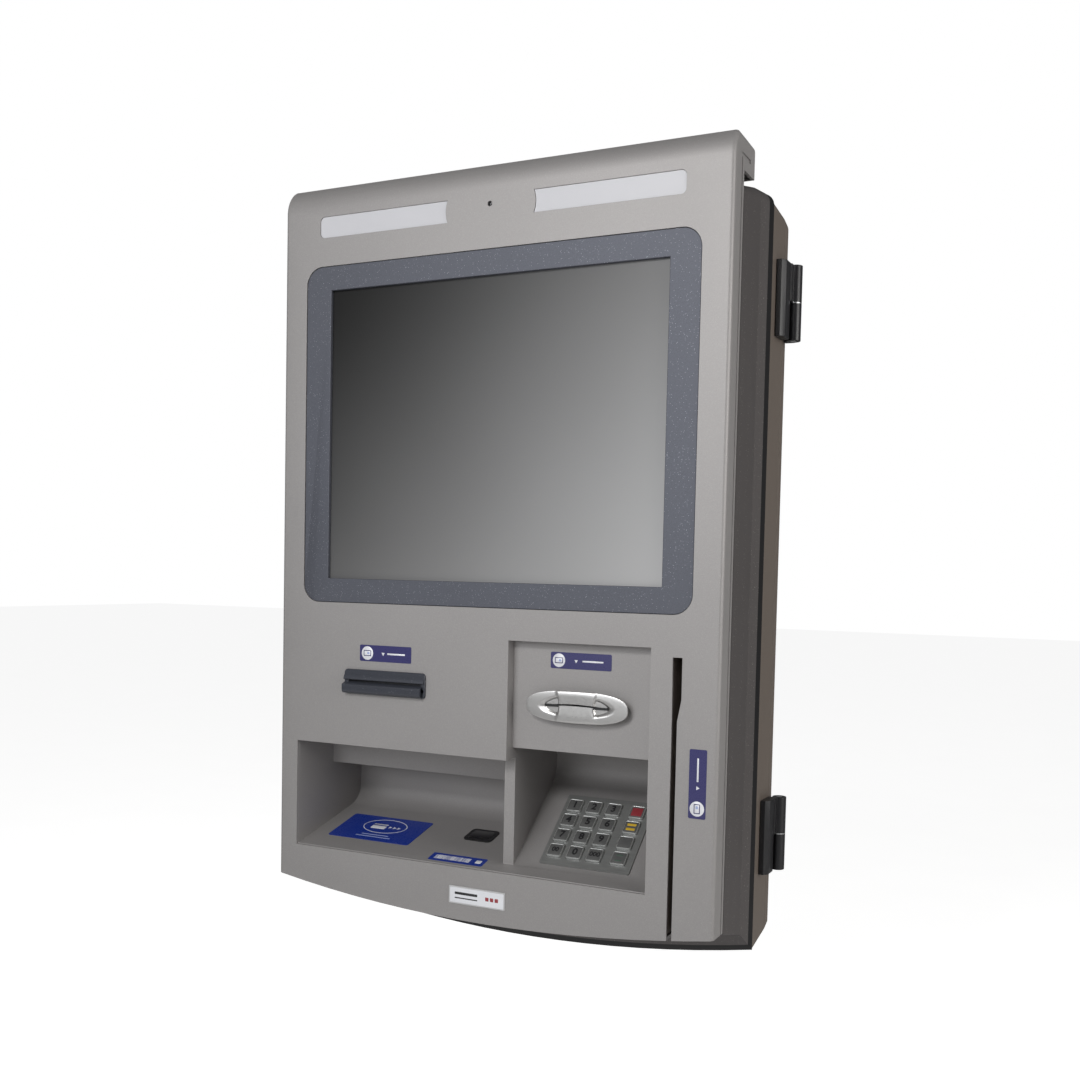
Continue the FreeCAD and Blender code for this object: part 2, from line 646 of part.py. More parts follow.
PRINTER_X = (MOUTH_X0 + MOUTH_X1) / 2
PRINTER_HALF = PAPER_W / 2 + 4
GEAR_X = PRINTER_X - PRINTER_HALF - SHEET - 2 - GEAR_W
PINION_D = PLATEN_D + MODULE * (GEAR_TEETH + PINION_TEETH) / 2 + MESH_GAP


def printer_chassis():
    front, back, low, high = WALL, 114.0, -154.0, -64.0
    x0, x1 = PRINTER_X - PRINTER_HALF, PRINTER_X + PRINTER_HALF
    sides = [box(x0 - SHEET, x0, front, back, low, high), box(x1, x1 + SHEET, front, back, low, high)]
    feet = [box(x0 - 14, x0, front, front + SHEET, high - 20, high),
            box(x1, x1 + 14, front, front + SHEET, high - 20, high)]
    base = box(x0, x1, front + 8, back, low, low + SHEET)
    spindle = rod_x(SPINDLE_R - RUN, x0, x1, ROLL_D, ROLL_Z)
    top = PLATEN_Z + PLATEN_R + 0.3
    head = box(x0, x1, PLATEN_D - 9, PLATEN_D + 9, top, top + 7)
    motor = rod_x(10.0, x0, x0 + 24, PINION_D, PLATEN_Z)
    shaft_bores = [rod_x(SHAFT_R + RUN, x0 - 20, x1 + 20, PLATEN_D, PLATEN_Z),
                   rod_x(2.0 + RUN, x0 - 20, x0 + 12, PINION_D, PLATEN_Z)]
    return fuse(sides + feet + [base, spindle, head, motor]).cut(Part.makeCompound(shaft_bores))


def gear(teeth, x0, d, z, turn):
    """Spur gear with straight-sided teeth, on an axis along X."""
    pitch_r = MODULE * teeth / 2
    points = []
    for i in range(teeth):
        a = 2 * math.pi * i / teeth + turn
        for r, half in ((pitch_r - 1.15, 0.78), (pitch_r, 0.60), (pitch_r + 0.85, 0.30)):
            points.append((r, a - half / r))
        for r, half in ((pitch_r + 0.85, 0.30), (pitch_r, 0.60), (pitch_r - 1.15, 0.78)):
            points.append((r, a + half / r))
    path = [at(x0, d + r * math.cos(a), z + r * math.sin(a)) for r, a in points]
    return Part.Face(Part.makePolygon(path + path[:1])).extrude(V(GEAR_W, 0, 0))


def platen_roller():
    x0, x1 = PRINTER_X - PRINTER_HALF, PRINTER_X + PRINTER_HALF
    roller = rod_x(PLATEN_R, x0 + 4, x1 - 4, PLATEN_D, PLATEN_Z)
    shaft = rod_x(SHAFT_R, GEAR_X, x1 + SHEET + 2, PLATEN_D, PLATEN_Z)
    return fuse([roller, shaft, gear(GEAR_TEETH, GEAR_X, PLATEN_D, PLATEN_Z, 0.0)])


def drive_pinion():
    x0 = PRINTER_X - PRINTER_HALF
    half_pitch = math.pi / PINION_TEETH
    wheel = gear(PINION_TEETH, GEAR_X, PINION_D, PLATEN_Z, math.pi + half_pitch)
    return fuse([wheel, rod_x(2.0, GEAR_X, x0 + 10, PINION_D, PLATEN_Z)])


def paper_roll():
    half = PAPER_W / 2 - 0.4
    roll = rod_x(ROLL_R, PRINTER_X - half, PRINTER_X + half, ROLL_D, ROLL_Z)
    return roll.cut(rod_x(SPINDLE_R, PRINTER_X - 60, PRINTER_X + 60, ROLL_D, ROLL_Z))


# ---------------------------------------------------------------- card readers
def card_reader_bezel():
    rows = []
    for step, share in ((0.0, 1.0), (0.35, 0.985), (0.75, 0.93), (1.0, 0.80)):
        d = RECESS_D - step * READER_RISE
        ring = Part.Ellipse(V(0, 0, 0), READER_HALF * (0.55 + 0.45 * share), READER_HIGH * share)
        wire = Part.Wire([ring.toShape()])
        wire.rotate(V(0, 0, 0), V(1, 0, 0), 90)
        wire.translate(at(READER_X, d, READER_Z))
        rows.append(wire)
    dome = Part.makeLoft(rows, True, False)
    slot = box(READER_X - CARD_SLOT_W / 2, READER_X + CARD_SLOT_W / 2, -10, 60,
               READER_Z - CARD_SLOT_H / 2, READER_Z + CARD_SLOT_H / 2)
    notches = [rod_z(16.0, READER_Z - 5, READER_Z + 5, READER_X + s * 27, -9.0) for s in (-1, 1)]
    return dome.cut(Part.makeCompound([slot] + notches))


def card_reader_body():
    front = RECESS_D + WALL
    body = rounded(READER_X - 44, READER_X + 44, READER_Z - 17, READER_Z + 17, 3.0, front, 110)
    slot = box(READER_X - CARD_SLOT_W / 2, READER_X + CARD_SLOT_W / 2, front - 1, 96,
               READER_Z - CARD_SLOT_H / 2, READER_Z + CARD_SLOT_H / 2)
    return body.cut(slot)


def swipe_guide():
    low = FASCIA_SIDE_BOTTOM - 1.0
    block = box(SWIPE_X0 - 4, SWIPE_X1 + 7, WALL, SWIPE_D + 3, low, SWIPE_TOP + 3)
    return block.cut(swipe_cut(SWIPE_D))


def swipe_reader():
    x = SWIPE_X0 - 4
    body = box(x - 12, x, 10, 30, -250, -200)
    window = box(x - 9, x - 3, 6, 10, -240, -210)
    return fuse([body, window])


# ---------------------------------------------------------------- keypad
def key_hole(x, s, gap, n0, n1):
    """Key outline with a gap all round it."""
    return slope_rounded(x - KEY_W / 2 - gap, x + KEY_W / 2 + gap, s - KEY_H / 2 - gap,
                         s + KEY_H / 2 + gap, n0, n1, 2.0 + gap)


def key_places():
    for row, s in enumerate(KEY_ROWS):
        for column, x in enumerate(KEY_COLUMNS):
            yield KEY_NAMES[row][column], x, s


def keypad_plate():
    plate = slope_rounded(PAD_X0, PAD_X1, PAD_S0, PAD_S1, 0, PAD_T, 1.5)
    holes = [key_hole(x, s, KEY_GAP, -5, 5) for _, x, s in key_places()]
    return tilted(plate.cut(Part.makeCompound(holes)), KEY_TILT, KEY_START_D, KEY_START_Z)


def keypad_body():
    body = slope_box(PAD_X0 + PAD_RIM + FIT, PAD_X1 - PAD_RIM - FIT, PAD_S0 + 4 + FIT,
                     PAD_S1 - 4 - FIT, -PAD_BODY_T, 0)
    pockets = [key_hole(x, s, 1.2, -7, 1) for _, x, s in key_places()]
    return tilted(body.cut(Part.makeCompound(pockets)), KEY_TILT, KEY_START_D, KEY_START_Z)


def key(x, s):
    cap = key_hole(x, s, 0.0, -0.5, PAD_T + KEY_RISE)
    top = max(cap.Faces, key=lambda f: f.CenterOfMass.z)
    cap = cap.makeChamfer(0.8, top.Edges)
    flange = key_hole(x, s, 0.8, -0.3 - KEY_FLANGE, -0.3)
    stem = slope_box(x - 3, x + 3, s - 3, s + 3, -5.2, -0.3 - KEY_FLANGE)
    return tilted(fuse([cap, flange, stem]), KEY_TILT, KEY_START_D, KEY_START_Z)


# ---------------------------------------------------------------- shelf fittings
def on_floor(shape):
    return tilted(shape, FLOOR_ANGLE, 0, LIP_Z)


def contactless_label():
    return on_floor(slope_rounded(-204, -101, 28.9, 84.6, 0, 0.4, 3.0))


def contactless_antenna():
    return on_floor(slope_rounded(-200, -105, 31, 82, -TUB_WALL - 4, -TUB_WALL, 2.0))


def fingerprint_sensor():
    top = slope_rounded(-50, -17, 57.8, 83.6, 0, 1.2, 5.0)
    body = slope_box(-47.5, -19.5, 60.0, 81.4, -12, 0)
    return on_floor(fuse([top, body]))


def code_label():
    return on_floor(slope_rounded(-63.5, 0, 7.7, 23.2, 0, 0.3, 1.5))


def badge():
    return rounded(-32, 32, -336, -318, 1.0, -1.2, 0)


def function_labels():
    return [rounded(-145, -82, -96, -79, 1.5, -0.3, 0),
            rounded(71, 135.5, -92.5, -76.5, 1.5, RECESS_D - 0.3, RECESS_D),
            rounded(220, 236.7, -222, -158, 1.5, -0.3, 0)]


# ---------------------------------------------------------------- lock
def lock_barrel():
    wall_x = -FRAME[1][1]
    head = rod_x(12.0, wall_x - 3, wall_x, LOCK_D, LOCK_Z)
    body = rod_x(LOCK_R, wall_x, CAM_X - 0.5, LOCK_D, LOCK_Z)
    keyway = box(wall_x - 4, wall_x + 6, LOCK_D - 0.7, LOCK_D + 0.7, -4, 4)
    bore = rod_x(4.0 + RUN, CAM_X - 8, CAM_X + 5, LOCK_D, LOCK_Z)
    return fuse([head, body]).cut(keyway).cut(bore)


def lock_cam():
    arm = box(CAM_X, CAM_X + CAM_T, LOCK_D - 5, LOCK_D + 5, LOCK_Z, LOCK_Z + HOOK_OUT)
    boss = rod_x(7.0, CAM_X, CAM_X + CAM_T, LOCK_D, LOCK_Z)
    stem = rod_x(4.0, CAM_X - 7, CAM_X, LOCK_D, LOCK_Z)
    ring = rod_x(HOOK_OUT, CAM_X, CAM_X + CAM_T, LOCK_D, LOCK_Z).cut(
        rod_x(HOOK_IN, CAM_X - 1, CAM_X + CAM_T + 1, LOCK_D, LOCK_Z))
    end = math.radians(50)
    wedge = profile_x([(LOCK_D, LOCK_Z), (LOCK_D, LOCK_Z + 60),
                       (LOCK_D + 60 * math.sin(end), LOCK_Z + 60 * math.cos(end))],
                      CAM_X - 1, CAM_X + CAM_T + 1)
    tip = rod_x(HOOK_OUT, CAM_X, CAM_X + CAM_T, LOCK_D, LOCK_Z)
    return fuse([arm.common(tip), boss, stem, ring.common(wedge)])


# ---------------------------------------------------------------- write the sub-parts
os.makedirs("parts", exist_ok=True)
SINGLE = [wall_tray, cable_grommet, power_supply, lock_keeper, door_frame, surround, fascia,
          shelf_tub, card_panel, screen_bezel, touch_glass, display_module, display_bracket,
          camera_module, controller_box, fan_housing, fan_rotor, receipt_mouth,
          printer_chassis, platen_roller, drive_pinion, paper_roll, card_reader_bezel,
          card_reader_body, swipe_guide, swipe_reader, keypad_plate, keypad_body,
          contactless_label, contactless_antenna, fingerprint_sensor, code_label, badge,
          lock_barrel, lock_cam]
for build in SINGLE:
    save(build.__name__, build())
save("bracket_screws", *bracket_screws())
save("function_labels", *function_labels())
save("light_bars", *[light_bar(s) for s in (-1, 1)])
save("light_boards", *[light_board(s) for s in (-1, 1)])
save("hinge_wall_leaves", *[hinge_wall_leaf(z) for z in HINGE_Z])
save("hinge_door_leaves", *[hinge_door_leaf(z) for z in HINGE_Z])
save("hinge_pins", *[hinge_pin(z) for z in HINGE_Z])
save("hinge_washers", *[hinge_washer(z) for z in HINGE_Z])
for name, x, s in key_places():
    save("key_" + name, key(x, s))
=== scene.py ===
# %% [markdown]
# # A wall-hung banking terminal
# The object is a deep hinged door on a shallow wall tray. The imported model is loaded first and
# stays fixed: every piece made here takes its place from it. Sizes below are in millimetres and
# are turned into metres where a mesh is made, because a maker thinks of such parts in millimetres.

# %% Load the frame
import bpy
import bmesh
import json
import math
from mathutils import Matrix, Vector


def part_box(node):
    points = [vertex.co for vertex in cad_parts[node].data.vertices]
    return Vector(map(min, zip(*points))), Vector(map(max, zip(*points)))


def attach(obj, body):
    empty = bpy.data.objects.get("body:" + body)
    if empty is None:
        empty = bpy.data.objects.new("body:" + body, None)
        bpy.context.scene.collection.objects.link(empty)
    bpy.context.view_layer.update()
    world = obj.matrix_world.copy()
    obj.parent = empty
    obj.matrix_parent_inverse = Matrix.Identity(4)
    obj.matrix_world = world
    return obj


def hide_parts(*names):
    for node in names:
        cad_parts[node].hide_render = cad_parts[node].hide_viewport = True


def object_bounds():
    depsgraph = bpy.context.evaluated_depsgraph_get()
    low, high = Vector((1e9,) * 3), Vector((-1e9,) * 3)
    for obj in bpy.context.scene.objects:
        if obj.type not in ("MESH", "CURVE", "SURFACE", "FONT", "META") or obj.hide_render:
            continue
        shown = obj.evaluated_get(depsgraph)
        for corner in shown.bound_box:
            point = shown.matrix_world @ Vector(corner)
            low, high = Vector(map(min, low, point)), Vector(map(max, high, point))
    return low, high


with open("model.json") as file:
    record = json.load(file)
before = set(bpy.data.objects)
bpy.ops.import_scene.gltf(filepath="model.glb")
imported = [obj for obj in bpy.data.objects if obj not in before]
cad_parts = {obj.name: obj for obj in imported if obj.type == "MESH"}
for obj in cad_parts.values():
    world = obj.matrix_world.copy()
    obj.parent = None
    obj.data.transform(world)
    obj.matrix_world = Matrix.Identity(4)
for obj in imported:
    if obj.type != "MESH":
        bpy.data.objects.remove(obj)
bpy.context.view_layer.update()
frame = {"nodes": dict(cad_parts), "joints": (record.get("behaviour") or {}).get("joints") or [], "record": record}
MM = 0.001
slots = {s["node"]: s["material_slot"] for s in frame["record"]["subparts"]}
body_of = {n: b for b, ns in frame["record"]["behaviour"]["bodies"].items() for n in ns}


def span(node):
    """Lowest and highest corner of a node, in millimetres."""
    low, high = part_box(node)
    return Vector(low) / MM, Vector(high) / MM


# %% [markdown]
# ## Shared effects
# Every painted shell of this terminal has the same two things: a fine grain in the paint and
# bright flecks of metal under the clear coat. A shader node group makes each effect once, and
# each paint sets its own amounts. The groups give out only colours and values, so the
# Principled shader stays in the material, where its own sockets hold what never varies.

# %% Node group helpers
def new_group(name, inputs, outputs):
    """An empty shader group with named sockets; returns the tree and its two end nodes."""
    tree = bpy.data.node_groups.new(name, "ShaderNodeTree")
    for label, kind, value in inputs:
        socket = tree.interface.new_socket(name=label, in_out="INPUT", socket_type=kind)
        socket.default_value = value
    for label, kind in outputs:
        tree.interface.new_socket(name=label, in_out="OUTPUT", socket_type=kind)
    return tree, tree.nodes.new("NodeGroupInput"), tree.nodes.new("NodeGroupOutput")


def node(tree, kind, **values):
    """Add a node and set its properties or its inputs by name."""
    made = tree.nodes.new(kind)
    for key, value in values.items():
        if key in made.inputs:
            made.inputs[key].default_value = value
        else:
            setattr(made, key, value)
    return made


def math_node(tree, operation, a, b=None, c=None):
    made = tree.nodes.new("ShaderNodeMath")
    made.operation = operation
    for i, value in enumerate((a, b, c)):
        if value is None:
            continue
        if hasattr(value, "default_value"):
            tree.links.new(value, made.inputs[i])
        else:
            made.inputs[i].default_value = value
    return made.outputs[0]


def mix_colour(tree, factor, a, b, blend="MIX"):
    made = tree.nodes.new("ShaderNodeMix")
    made.data_type = "RGBA"
    made.blend_type = blend
    for index, value in ((0, factor), (6, a), (7, b)):
        if hasattr(value, "default_value"):
            tree.links.new(value, made.inputs[index])
        elif index:
            made.inputs[index].default_value = (*value, 1.0)
        else:
            made.inputs[index].default_value = value
    return made.outputs[2]


def ramp(tree, value, low, high):
    """Map low..high to 0..1, clamped."""
    made = tree.nodes.new("ShaderNodeMapRange")
    tree.links.new(value, made.inputs[0])
    made.inputs[1].default_value = low
    made.inputs[2].default_value = high
    return made.outputs[0]


# %% [markdown]
# ### Metallic paint
# Flecks are the cells of a Voronoi texture whose random value is high: a small share of cells
# lights up, as flakes do when they face the light. Two noise scales give the orange peel of the
# coat and a slow drift of tone across a large panel.

# %% The metallic paint group
def make_paint_group():
    tree, given, out = new_group(
        "metallic_paint",
        [("Color", "NodeSocketColor", (0.5, 0.5, 0.5, 1)), ("Fleck Color", "NodeSocketColor", (1, 1, 1, 1)),
         ("Fleck Share", "NodeSocketFloat", 0.05), ("Fleck Size", "NodeSocketFloat", 0.9),
         ("Grain", "NodeSocketFloat", 0.1), ("Roughness", "NodeSocketFloat", 0.45),
         ("Metal", "NodeSocketFloat", 0.0)],
        [("Color", "NodeSocketColor"), ("Roughness", "NodeSocketFloat"), ("Height", "NodeSocketFloat"),
         ("Metal", "NodeSocketFloat")])
    links = tree.links
    place = tree.nodes.new("ShaderNodeTexCoord").outputs["Object"]
    per_metre = math_node(tree, "DIVIDE", 1000.0, given.outputs["Fleck Size"])
    cells = node(tree, "ShaderNodeTexVoronoi", feature="F1")
    links.new(place, cells.inputs["Vector"])
    links.new(per_metre, cells.inputs["Scale"])
    parts = tree.nodes.new("ShaderNodeSeparateColor")
    links.new(cells.outputs["Color"], parts.inputs[0])
    limit = math_node(tree, "SUBTRACT", 1.0, given.outputs["Fleck Share"])
    bright = math_node(tree, "GREATER_THAN", parts.outputs[0], limit)
    near = ramp(tree, cells.outputs["Distance"], 0.42, 0.18)
    strength = math_node(tree, "MULTIPLY", math_node(tree, "MULTIPLY", bright, near), parts.outputs[1])
    fine = node(tree, "ShaderNodeTexNoise", Scale=1500.0, Detail=3.0)
    broad = node(tree, "ShaderNodeTexNoise", Scale=7.0, Detail=2.0)
    for tex in (fine, broad):
        links.new(place, tex.inputs["Vector"])
    drift = math_node(tree, "MULTIPLY_ADD", broad.outputs[0], 0.10, 0.95)
    speckle = math_node(tree, "SUBTRACT", fine.outputs[0], 0.5)
    shade = math_node(tree, "MULTIPLY_ADD", speckle, given.outputs["Grain"], drift)
    grey = tree.nodes.new("ShaderNodeCombineColor")
    for i in range(3):
        links.new(shade, grey.inputs[i])
    toned = mix_colour(tree, 1.0, given.outputs["Color"], grey.outputs[0], "MULTIPLY")
    flecked = mix_colour(tree, strength, toned, given.outputs["Fleck Color"])
    rough = math_node(tree, "MULTIPLY_ADD", speckle, 0.25, given.outputs["Roughness"])
    metal = math_node(tree, "MULTIPLY_ADD", strength, 0.4, given.outputs["Metal"])
    links.new(flecked, out.inputs["Color"])
    links.new(rough, out.inputs["Roughness"])
    links.new(fine.outputs[0], out.inputs["Height"])
    links.new(metal, out.inputs["Metal"])
    return tree


paint_group = make_paint_group()


# %% [markdown]
# ### Brushed metal
# Brushing is noise stretched a long way in one direction. The group scales the coordinates
# unevenly before the noise, so the same lines drive colour, roughness and height together.

# %% The brushed metal group
def make_brush_group():
    tree, given, out = new_group(
        "brushed_metal",
        [("Color", "NodeSocketColor", (0.5, 0.5, 0.5, 1)), ("Stretch", "NodeSocketVector", (60, 1500, 1500)),
         ("Depth", "NodeSocketFloat", 0.2), ("Roughness", "NodeSocketFloat", 0.35)],
        [("Color", "NodeSocketColor"), ("Roughness", "NodeSocketFloat"), ("Height", "NodeSocketFloat")])
    links = tree.links
    place = tree.nodes.new("ShaderNodeTexCoord").outputs["Object"]
    scaled = node(tree, "ShaderNodeVectorMath", operation="MULTIPLY")
    links.new(place, scaled.inputs[0])
    links.new(given.outputs["Stretch"], scaled.inputs[1])
    lines = node(tree, "ShaderNodeTexNoise", Scale=1.0, Detail=4.0)
    links.new(scaled.outputs[0], lines.inputs["Vector"])
    wave = math_node(tree, "SUBTRACT", lines.outputs[0], 0.5)
    shade = math_node(tree, "MULTIPLY_ADD", wave, given.outputs["Depth"], 1.0)
    grey = tree.nodes.new("ShaderNodeCombineColor")
    for i in range(3):
        links.new(shade, grey.inputs[i])
    toned = mix_colour(tree, 1.0, given.outputs["Color"], grey.outputs[0], "MULTIPLY")
    rough = math_node(tree, "MULTIPLY_ADD", wave, 0.3, given.outputs["Roughness"])
    links.new(toned, out.inputs["Color"])
    links.new(rough, out.inputs["Roughness"])
    links.new(lines.outputs[0], out.inputs["Height"])
    return tree


brush_group = make_brush_group()


# %% Material makers
def start_material(name):
    material = bpy.data.materials.new(name)
    material.use_nodes = True
    tree = material.node_tree
    return material, tree, tree.nodes["Principled BSDF"]


def add_bump(tree, shader, height, distance, strength=1.0):
    bump = node(tree, "ShaderNodeBump", Strength=strength, Distance=distance * MM)
    tree.links.new(height, bump.inputs["Height"])
    tree.links.new(bump.outputs[0], shader.inputs["Normal"])


def painted(name, colour, fleck=(1, 1, 1), share=0.05, size=0.9, grain=0.1, rough=0.45, peel=0.02, coat=0.0,
            metal=0.0):
    """A metallic paint over a moulding or a folded sheet."""
    material, tree, shader = start_material(name)
    group = node(tree, "ShaderNodeGroup", node_tree=paint_group)
    group.inputs["Color"].default_value = (*colour, 1)
    group.inputs["Fleck Color"].default_value = (*fleck, 1)
    for label, value in (("Fleck Share", share), ("Fleck Size", size), ("Grain", grain), ("Roughness", rough),
                         ("Metal", metal)):
        group.inputs[label].default_value = value
    tree.links.new(group.outputs["Color"], shader.inputs["Base Color"])
    tree.links.new(group.outputs["Roughness"], shader.inputs["Roughness"])
    tree.links.new(group.outputs["Metal"], shader.inputs["Metallic"])
    shader.inputs["Coat Weight"].default_value = coat
    shader.inputs["Coat Roughness"].default_value = 0.25
    add_bump(tree, shader, group.outputs["Height"], peel)
    return material


def brushed(name, colour, stretch=(60, 1500, 1500), depth=0.2, rough=0.35, metal=1.0, relief=0.01):
    """A brushed or plated metal."""
    material, tree, shader = start_material(name)
    group = node(tree, "ShaderNodeGroup", node_tree=brush_group)
    group.inputs["Color"].default_value = (*colour, 1)
    group.inputs["Stretch"].default_value = stretch
    group.inputs["Depth"].default_value = depth
    group.inputs["Roughness"].default_value = rough
    tree.links.new(group.outputs["Color"], shader.inputs["Base Color"])
    tree.links.new(group.outputs["Roughness"], shader.inputs["Roughness"])
    shader.inputs["Metallic"].default_value = metal
    add_bump(tree, shader, group.outputs["Height"], relief)
    return material


# %% [markdown]
# ## The finishes
# The light shell is a warm silver, the screen surround a blue-grey with white flecks, and the
# moulding behind it a darker charcoal. The cabinet is a brown-grey powder coat. Each is the same
# paint group with other values, which keeps them a family, as on the real object.

# %% Paints, plastics and metals
finishes = {
    "fascia_paint": painted("fascia_paint", (0.362, 0.349, 0.346), (0.62, 0.60, 0.59),
                            0.12, 0.55, 0.40, 0.60, 0.010, metal=0.55),
    "bezel_paint": painted("bezel_paint", (0.112, 0.118, 0.142), (0.62, 0.64, 0.72),
                           0.06, 0.75, 0.8, 0.58, 0.02, metal=0.5),
    "surround_paint": painted("surround_paint", (0.112, 0.103, 0.102), (0.70, 0.66, 0.62),
                              0.05, 0.8, 0.7, 0.52, 0.02, metal=0.45),
    "frame_paint": painted("frame_paint", (0.155, 0.128, 0.108), (0.35, 0.30, 0.25),
                           0.03, 0.9, 0.3, 0.5, 0.015, metal=0.15),
    "hinge_black": painted("hinge_black", (0.008, 0.008, 0.010), (0.05, 0.05, 0.06),
                           0.02, 0.7, 0.2, 0.38, 0.01),
    "mouth_plastic": painted("mouth_plastic", (0.050, 0.054, 0.068), (0.45, 0.48, 0.55),
                             0.03, 0.8, 0.5, 0.32, 0.02, metal=0.1),
    "black_plastic": painted("black_plastic", (0.012, 0.012, 0.013), (0.05, 0.05, 0.05),
                             0.01, 0.8, 0.3, 0.5, 0.03),
    "white_plastic": painted("white_plastic", (0.70, 0.70, 0.66), (0.8, 0.8, 0.8), 0.0, 0.8, 0.05, 0.45, 0.01),
    "rubber": painted("rubber", (0.02, 0.02, 0.02), (0.05, 0.05, 0.05), 0.0, 0.8, 0.3, 0.8, 0.05),
    "paper": painted("paper", (0.82, 0.81, 0.77), (0.9, 0.9, 0.9), 0.0, 0.8, 0.06, 0.85, 0.02),
    "board_green": painted("board_green", (0.02, 0.14, 0.05), (0.6, 0.5, 0.2), 0.05, 2.5, 0.3, 0.4, 0.03),
    "zinc_sheet_case": brushed("zinc_sheet_case", (0.50, 0.51, 0.52), (300, 300, 300), 0.25, 0.42),
    "display_case": brushed("display_case", (0.30, 0.31, 0.32), (300, 300, 300), 0.2, 0.45),
    "zinc_steel": brushed("zinc_steel", (0.58, 0.59, 0.60), (250, 250, 250), 0.3, 0.33),
    "satin_chrome": brushed("satin_chrome", (0.62, 0.61, 0.60), (900, 900, 900), 0.05, 0.34, 1.0, 0.002),
    "keypad_steel": brushed("keypad_steel", (0.27, 0.275, 0.27), (60, 2200, 2200), 0.5, 0.45, 0.6),
    "badge_silver": brushed("badge_silver", (0.60, 0.60, 0.61), (80, 2500, 2500), 0.10, 0.35, 0.4),
}
# The key rims' steel is painted lighter than the faces' steel: a painted highlight along the raised edges.
rim_steel = brushed("rim_steel", (0.66, 0.67, 0.66), (120, 1800, 1800), 0.15, 0.30, 0.8)
key_steel = brushed("key_steel", (0.17, 0.172, 0.17), (60, 2200, 2200), 0.6, 0.45, 0.5)
slot_grey = painted("slot_grey", (0.16, 0.135, 0.12), (0.3, 0.3, 0.3), 0.0, 0.8, 0.3, 0.5, 0.02)


# %% [markdown]
# ### Printed film, diffuser and screen
# The labels are printed film: an even colour under a smooth clear layer. The light bars are milky
# plastic, so they let some light through. The screen is off, and its glass carries a painted
# reflection in its colour, a soft diagonal from dark at the upper left to pale grey at the lower
# right. The charcoal moulding's paint turns black near its back edge: a painted shadow of the gap
# between the moulding and the cabinet.

# %% Film, diffuser and glass
def film(name, colour, rough=0.3):
    return painted(name, colour, colour, 0.0, 1.0, 0.05, rough, 0.004, 0.4)


finishes["label_blue"] = film("label_blue", (0.005, 0.030, 0.27))
finishes["label_navy"] = film("label_navy", (0.040, 0.038, 0.145))
white_ink = film("white_ink", (0.78, 0.79, 0.83))
pale_ink = film("pale_ink", (0.35, 0.42, 0.70))
dark_ink = film("dark_ink", (0.010, 0.010, 0.012), 0.5)
red_ink = film("red_ink", (0.30, 0.035, 0.045), 0.4)
yellow_ink = film("yellow_ink", (0.70, 0.46, 0.04), 0.4)
green_ink = film("green_ink", (0.07, 0.12, 0.09), 0.5)


def make_diffuser():
    material, tree, shader = start_material("diffuser")
    group = node(tree, "ShaderNodeGroup", node_tree=paint_group)
    group.inputs["Color"].default_value = (0.60, 0.60, 0.63, 1)
    group.inputs["Fleck Share"].default_value = 0.0
    group.inputs["Grain"].default_value = 0.03
    tree.links.new(group.outputs["Color"], shader.inputs["Base Color"])
    shader.inputs["Roughness"].default_value = 0.42
    shader.inputs["Subsurface Weight"].default_value = 0.3
    shader.inputs["Subsurface Radius"].default_value = (0.002, 0.002, 0.002)
    add_bump(tree, shader, group.outputs["Height"], 0.01)
    return material


def make_glass():
    """Dark glass over a switched-off panel, with a painted reflection in its colour."""
    material, tree, shader = start_material("screen_glass")
    low, high = span("touch_glass")
    place = tree.nodes.new("ShaderNodeTexCoord").outputs["Object"]
    split = tree.nodes.new("ShaderNodeSeparateXYZ")
    tree.links.new(place, split.inputs[0])
    across = ramp(tree, split.outputs[0], low.x * MM, high.x * MM)
    down = ramp(tree, split.outputs[2], high.z * MM, low.z * MM)
    # Painted reflection: the base colour goes from dark at the upper left to pale grey at the lower right, with a
    # faint cloud, standing in for the room reflected in the glass.
    reflection_sweep = math_node(tree, "ADD", math_node(tree, "MULTIPLY", across, 0.57),
                         math_node(tree, "MULTIPLY", down, 0.40))
    cloud = node(tree, "ShaderNodeTexNoise", Scale=5.0, Detail=1.0)
    tree.links.new(place, cloud.inputs["Vector"])
    soft = math_node(tree, "MULTIPLY_ADD", math_node(tree, "SUBTRACT", cloud.outputs[0], 0.5), 0.06, reflection_sweep)
    reflection_tone = math_node(tree, "POWER", soft, 1.7)
    colour = mix_colour(tree, reflection_tone, (0.020, 0.020, 0.020), (0.52, 0.52, 0.525))
    tree.links.new(colour, shader.inputs["Base Color"])
    shader.inputs["Roughness"].default_value = 0.26
    shader.inputs["Specular IOR Level"].default_value = 0.08
    fine = node(tree, "ShaderNodeTexNoise", Scale=2500.0)
    tree.links.new(place, fine.inputs["Vector"])
    add_bump(tree, shader, fine.outputs[0], 0.002)
    return material


def paint_gap_shadow(material, depth, colour):
    """Paint a colour behind a depth in millimetres: a painted shadow of the gap round the back edge."""
    tree = material.node_tree
    base = tree.nodes["Principled BSDF"].inputs["Base Color"]
    split = tree.nodes.new("ShaderNodeSeparateXYZ")
    tree.links.new(tree.nodes.new("ShaderNodeTexCoord").outputs["Object"], split.inputs[0])
    behind = math_node(tree, "GREATER_THAN", split.outputs[1], depth * MM)
    tree.links.new(mix_colour(tree, behind, base.links[0].from_socket, colour), base)


# Width, in millimetres, of the painted shadow along the charcoal moulding's back edge.
GAP_SHADOW_WIDTH = 9.0
finishes["diffuser"] = make_diffuser()
finishes["screen_glass"] = make_glass()
# Painted shadow: the moulding's paint turns black behind this depth, where the gap to the cabinet lies in shade.
paint_gap_shadow(finishes["surround_paint"], span("surround")[1].y - GAP_SHADOW_WIDTH, (0.010, 0.010, 0.011))
print("finishes", len(finishes))


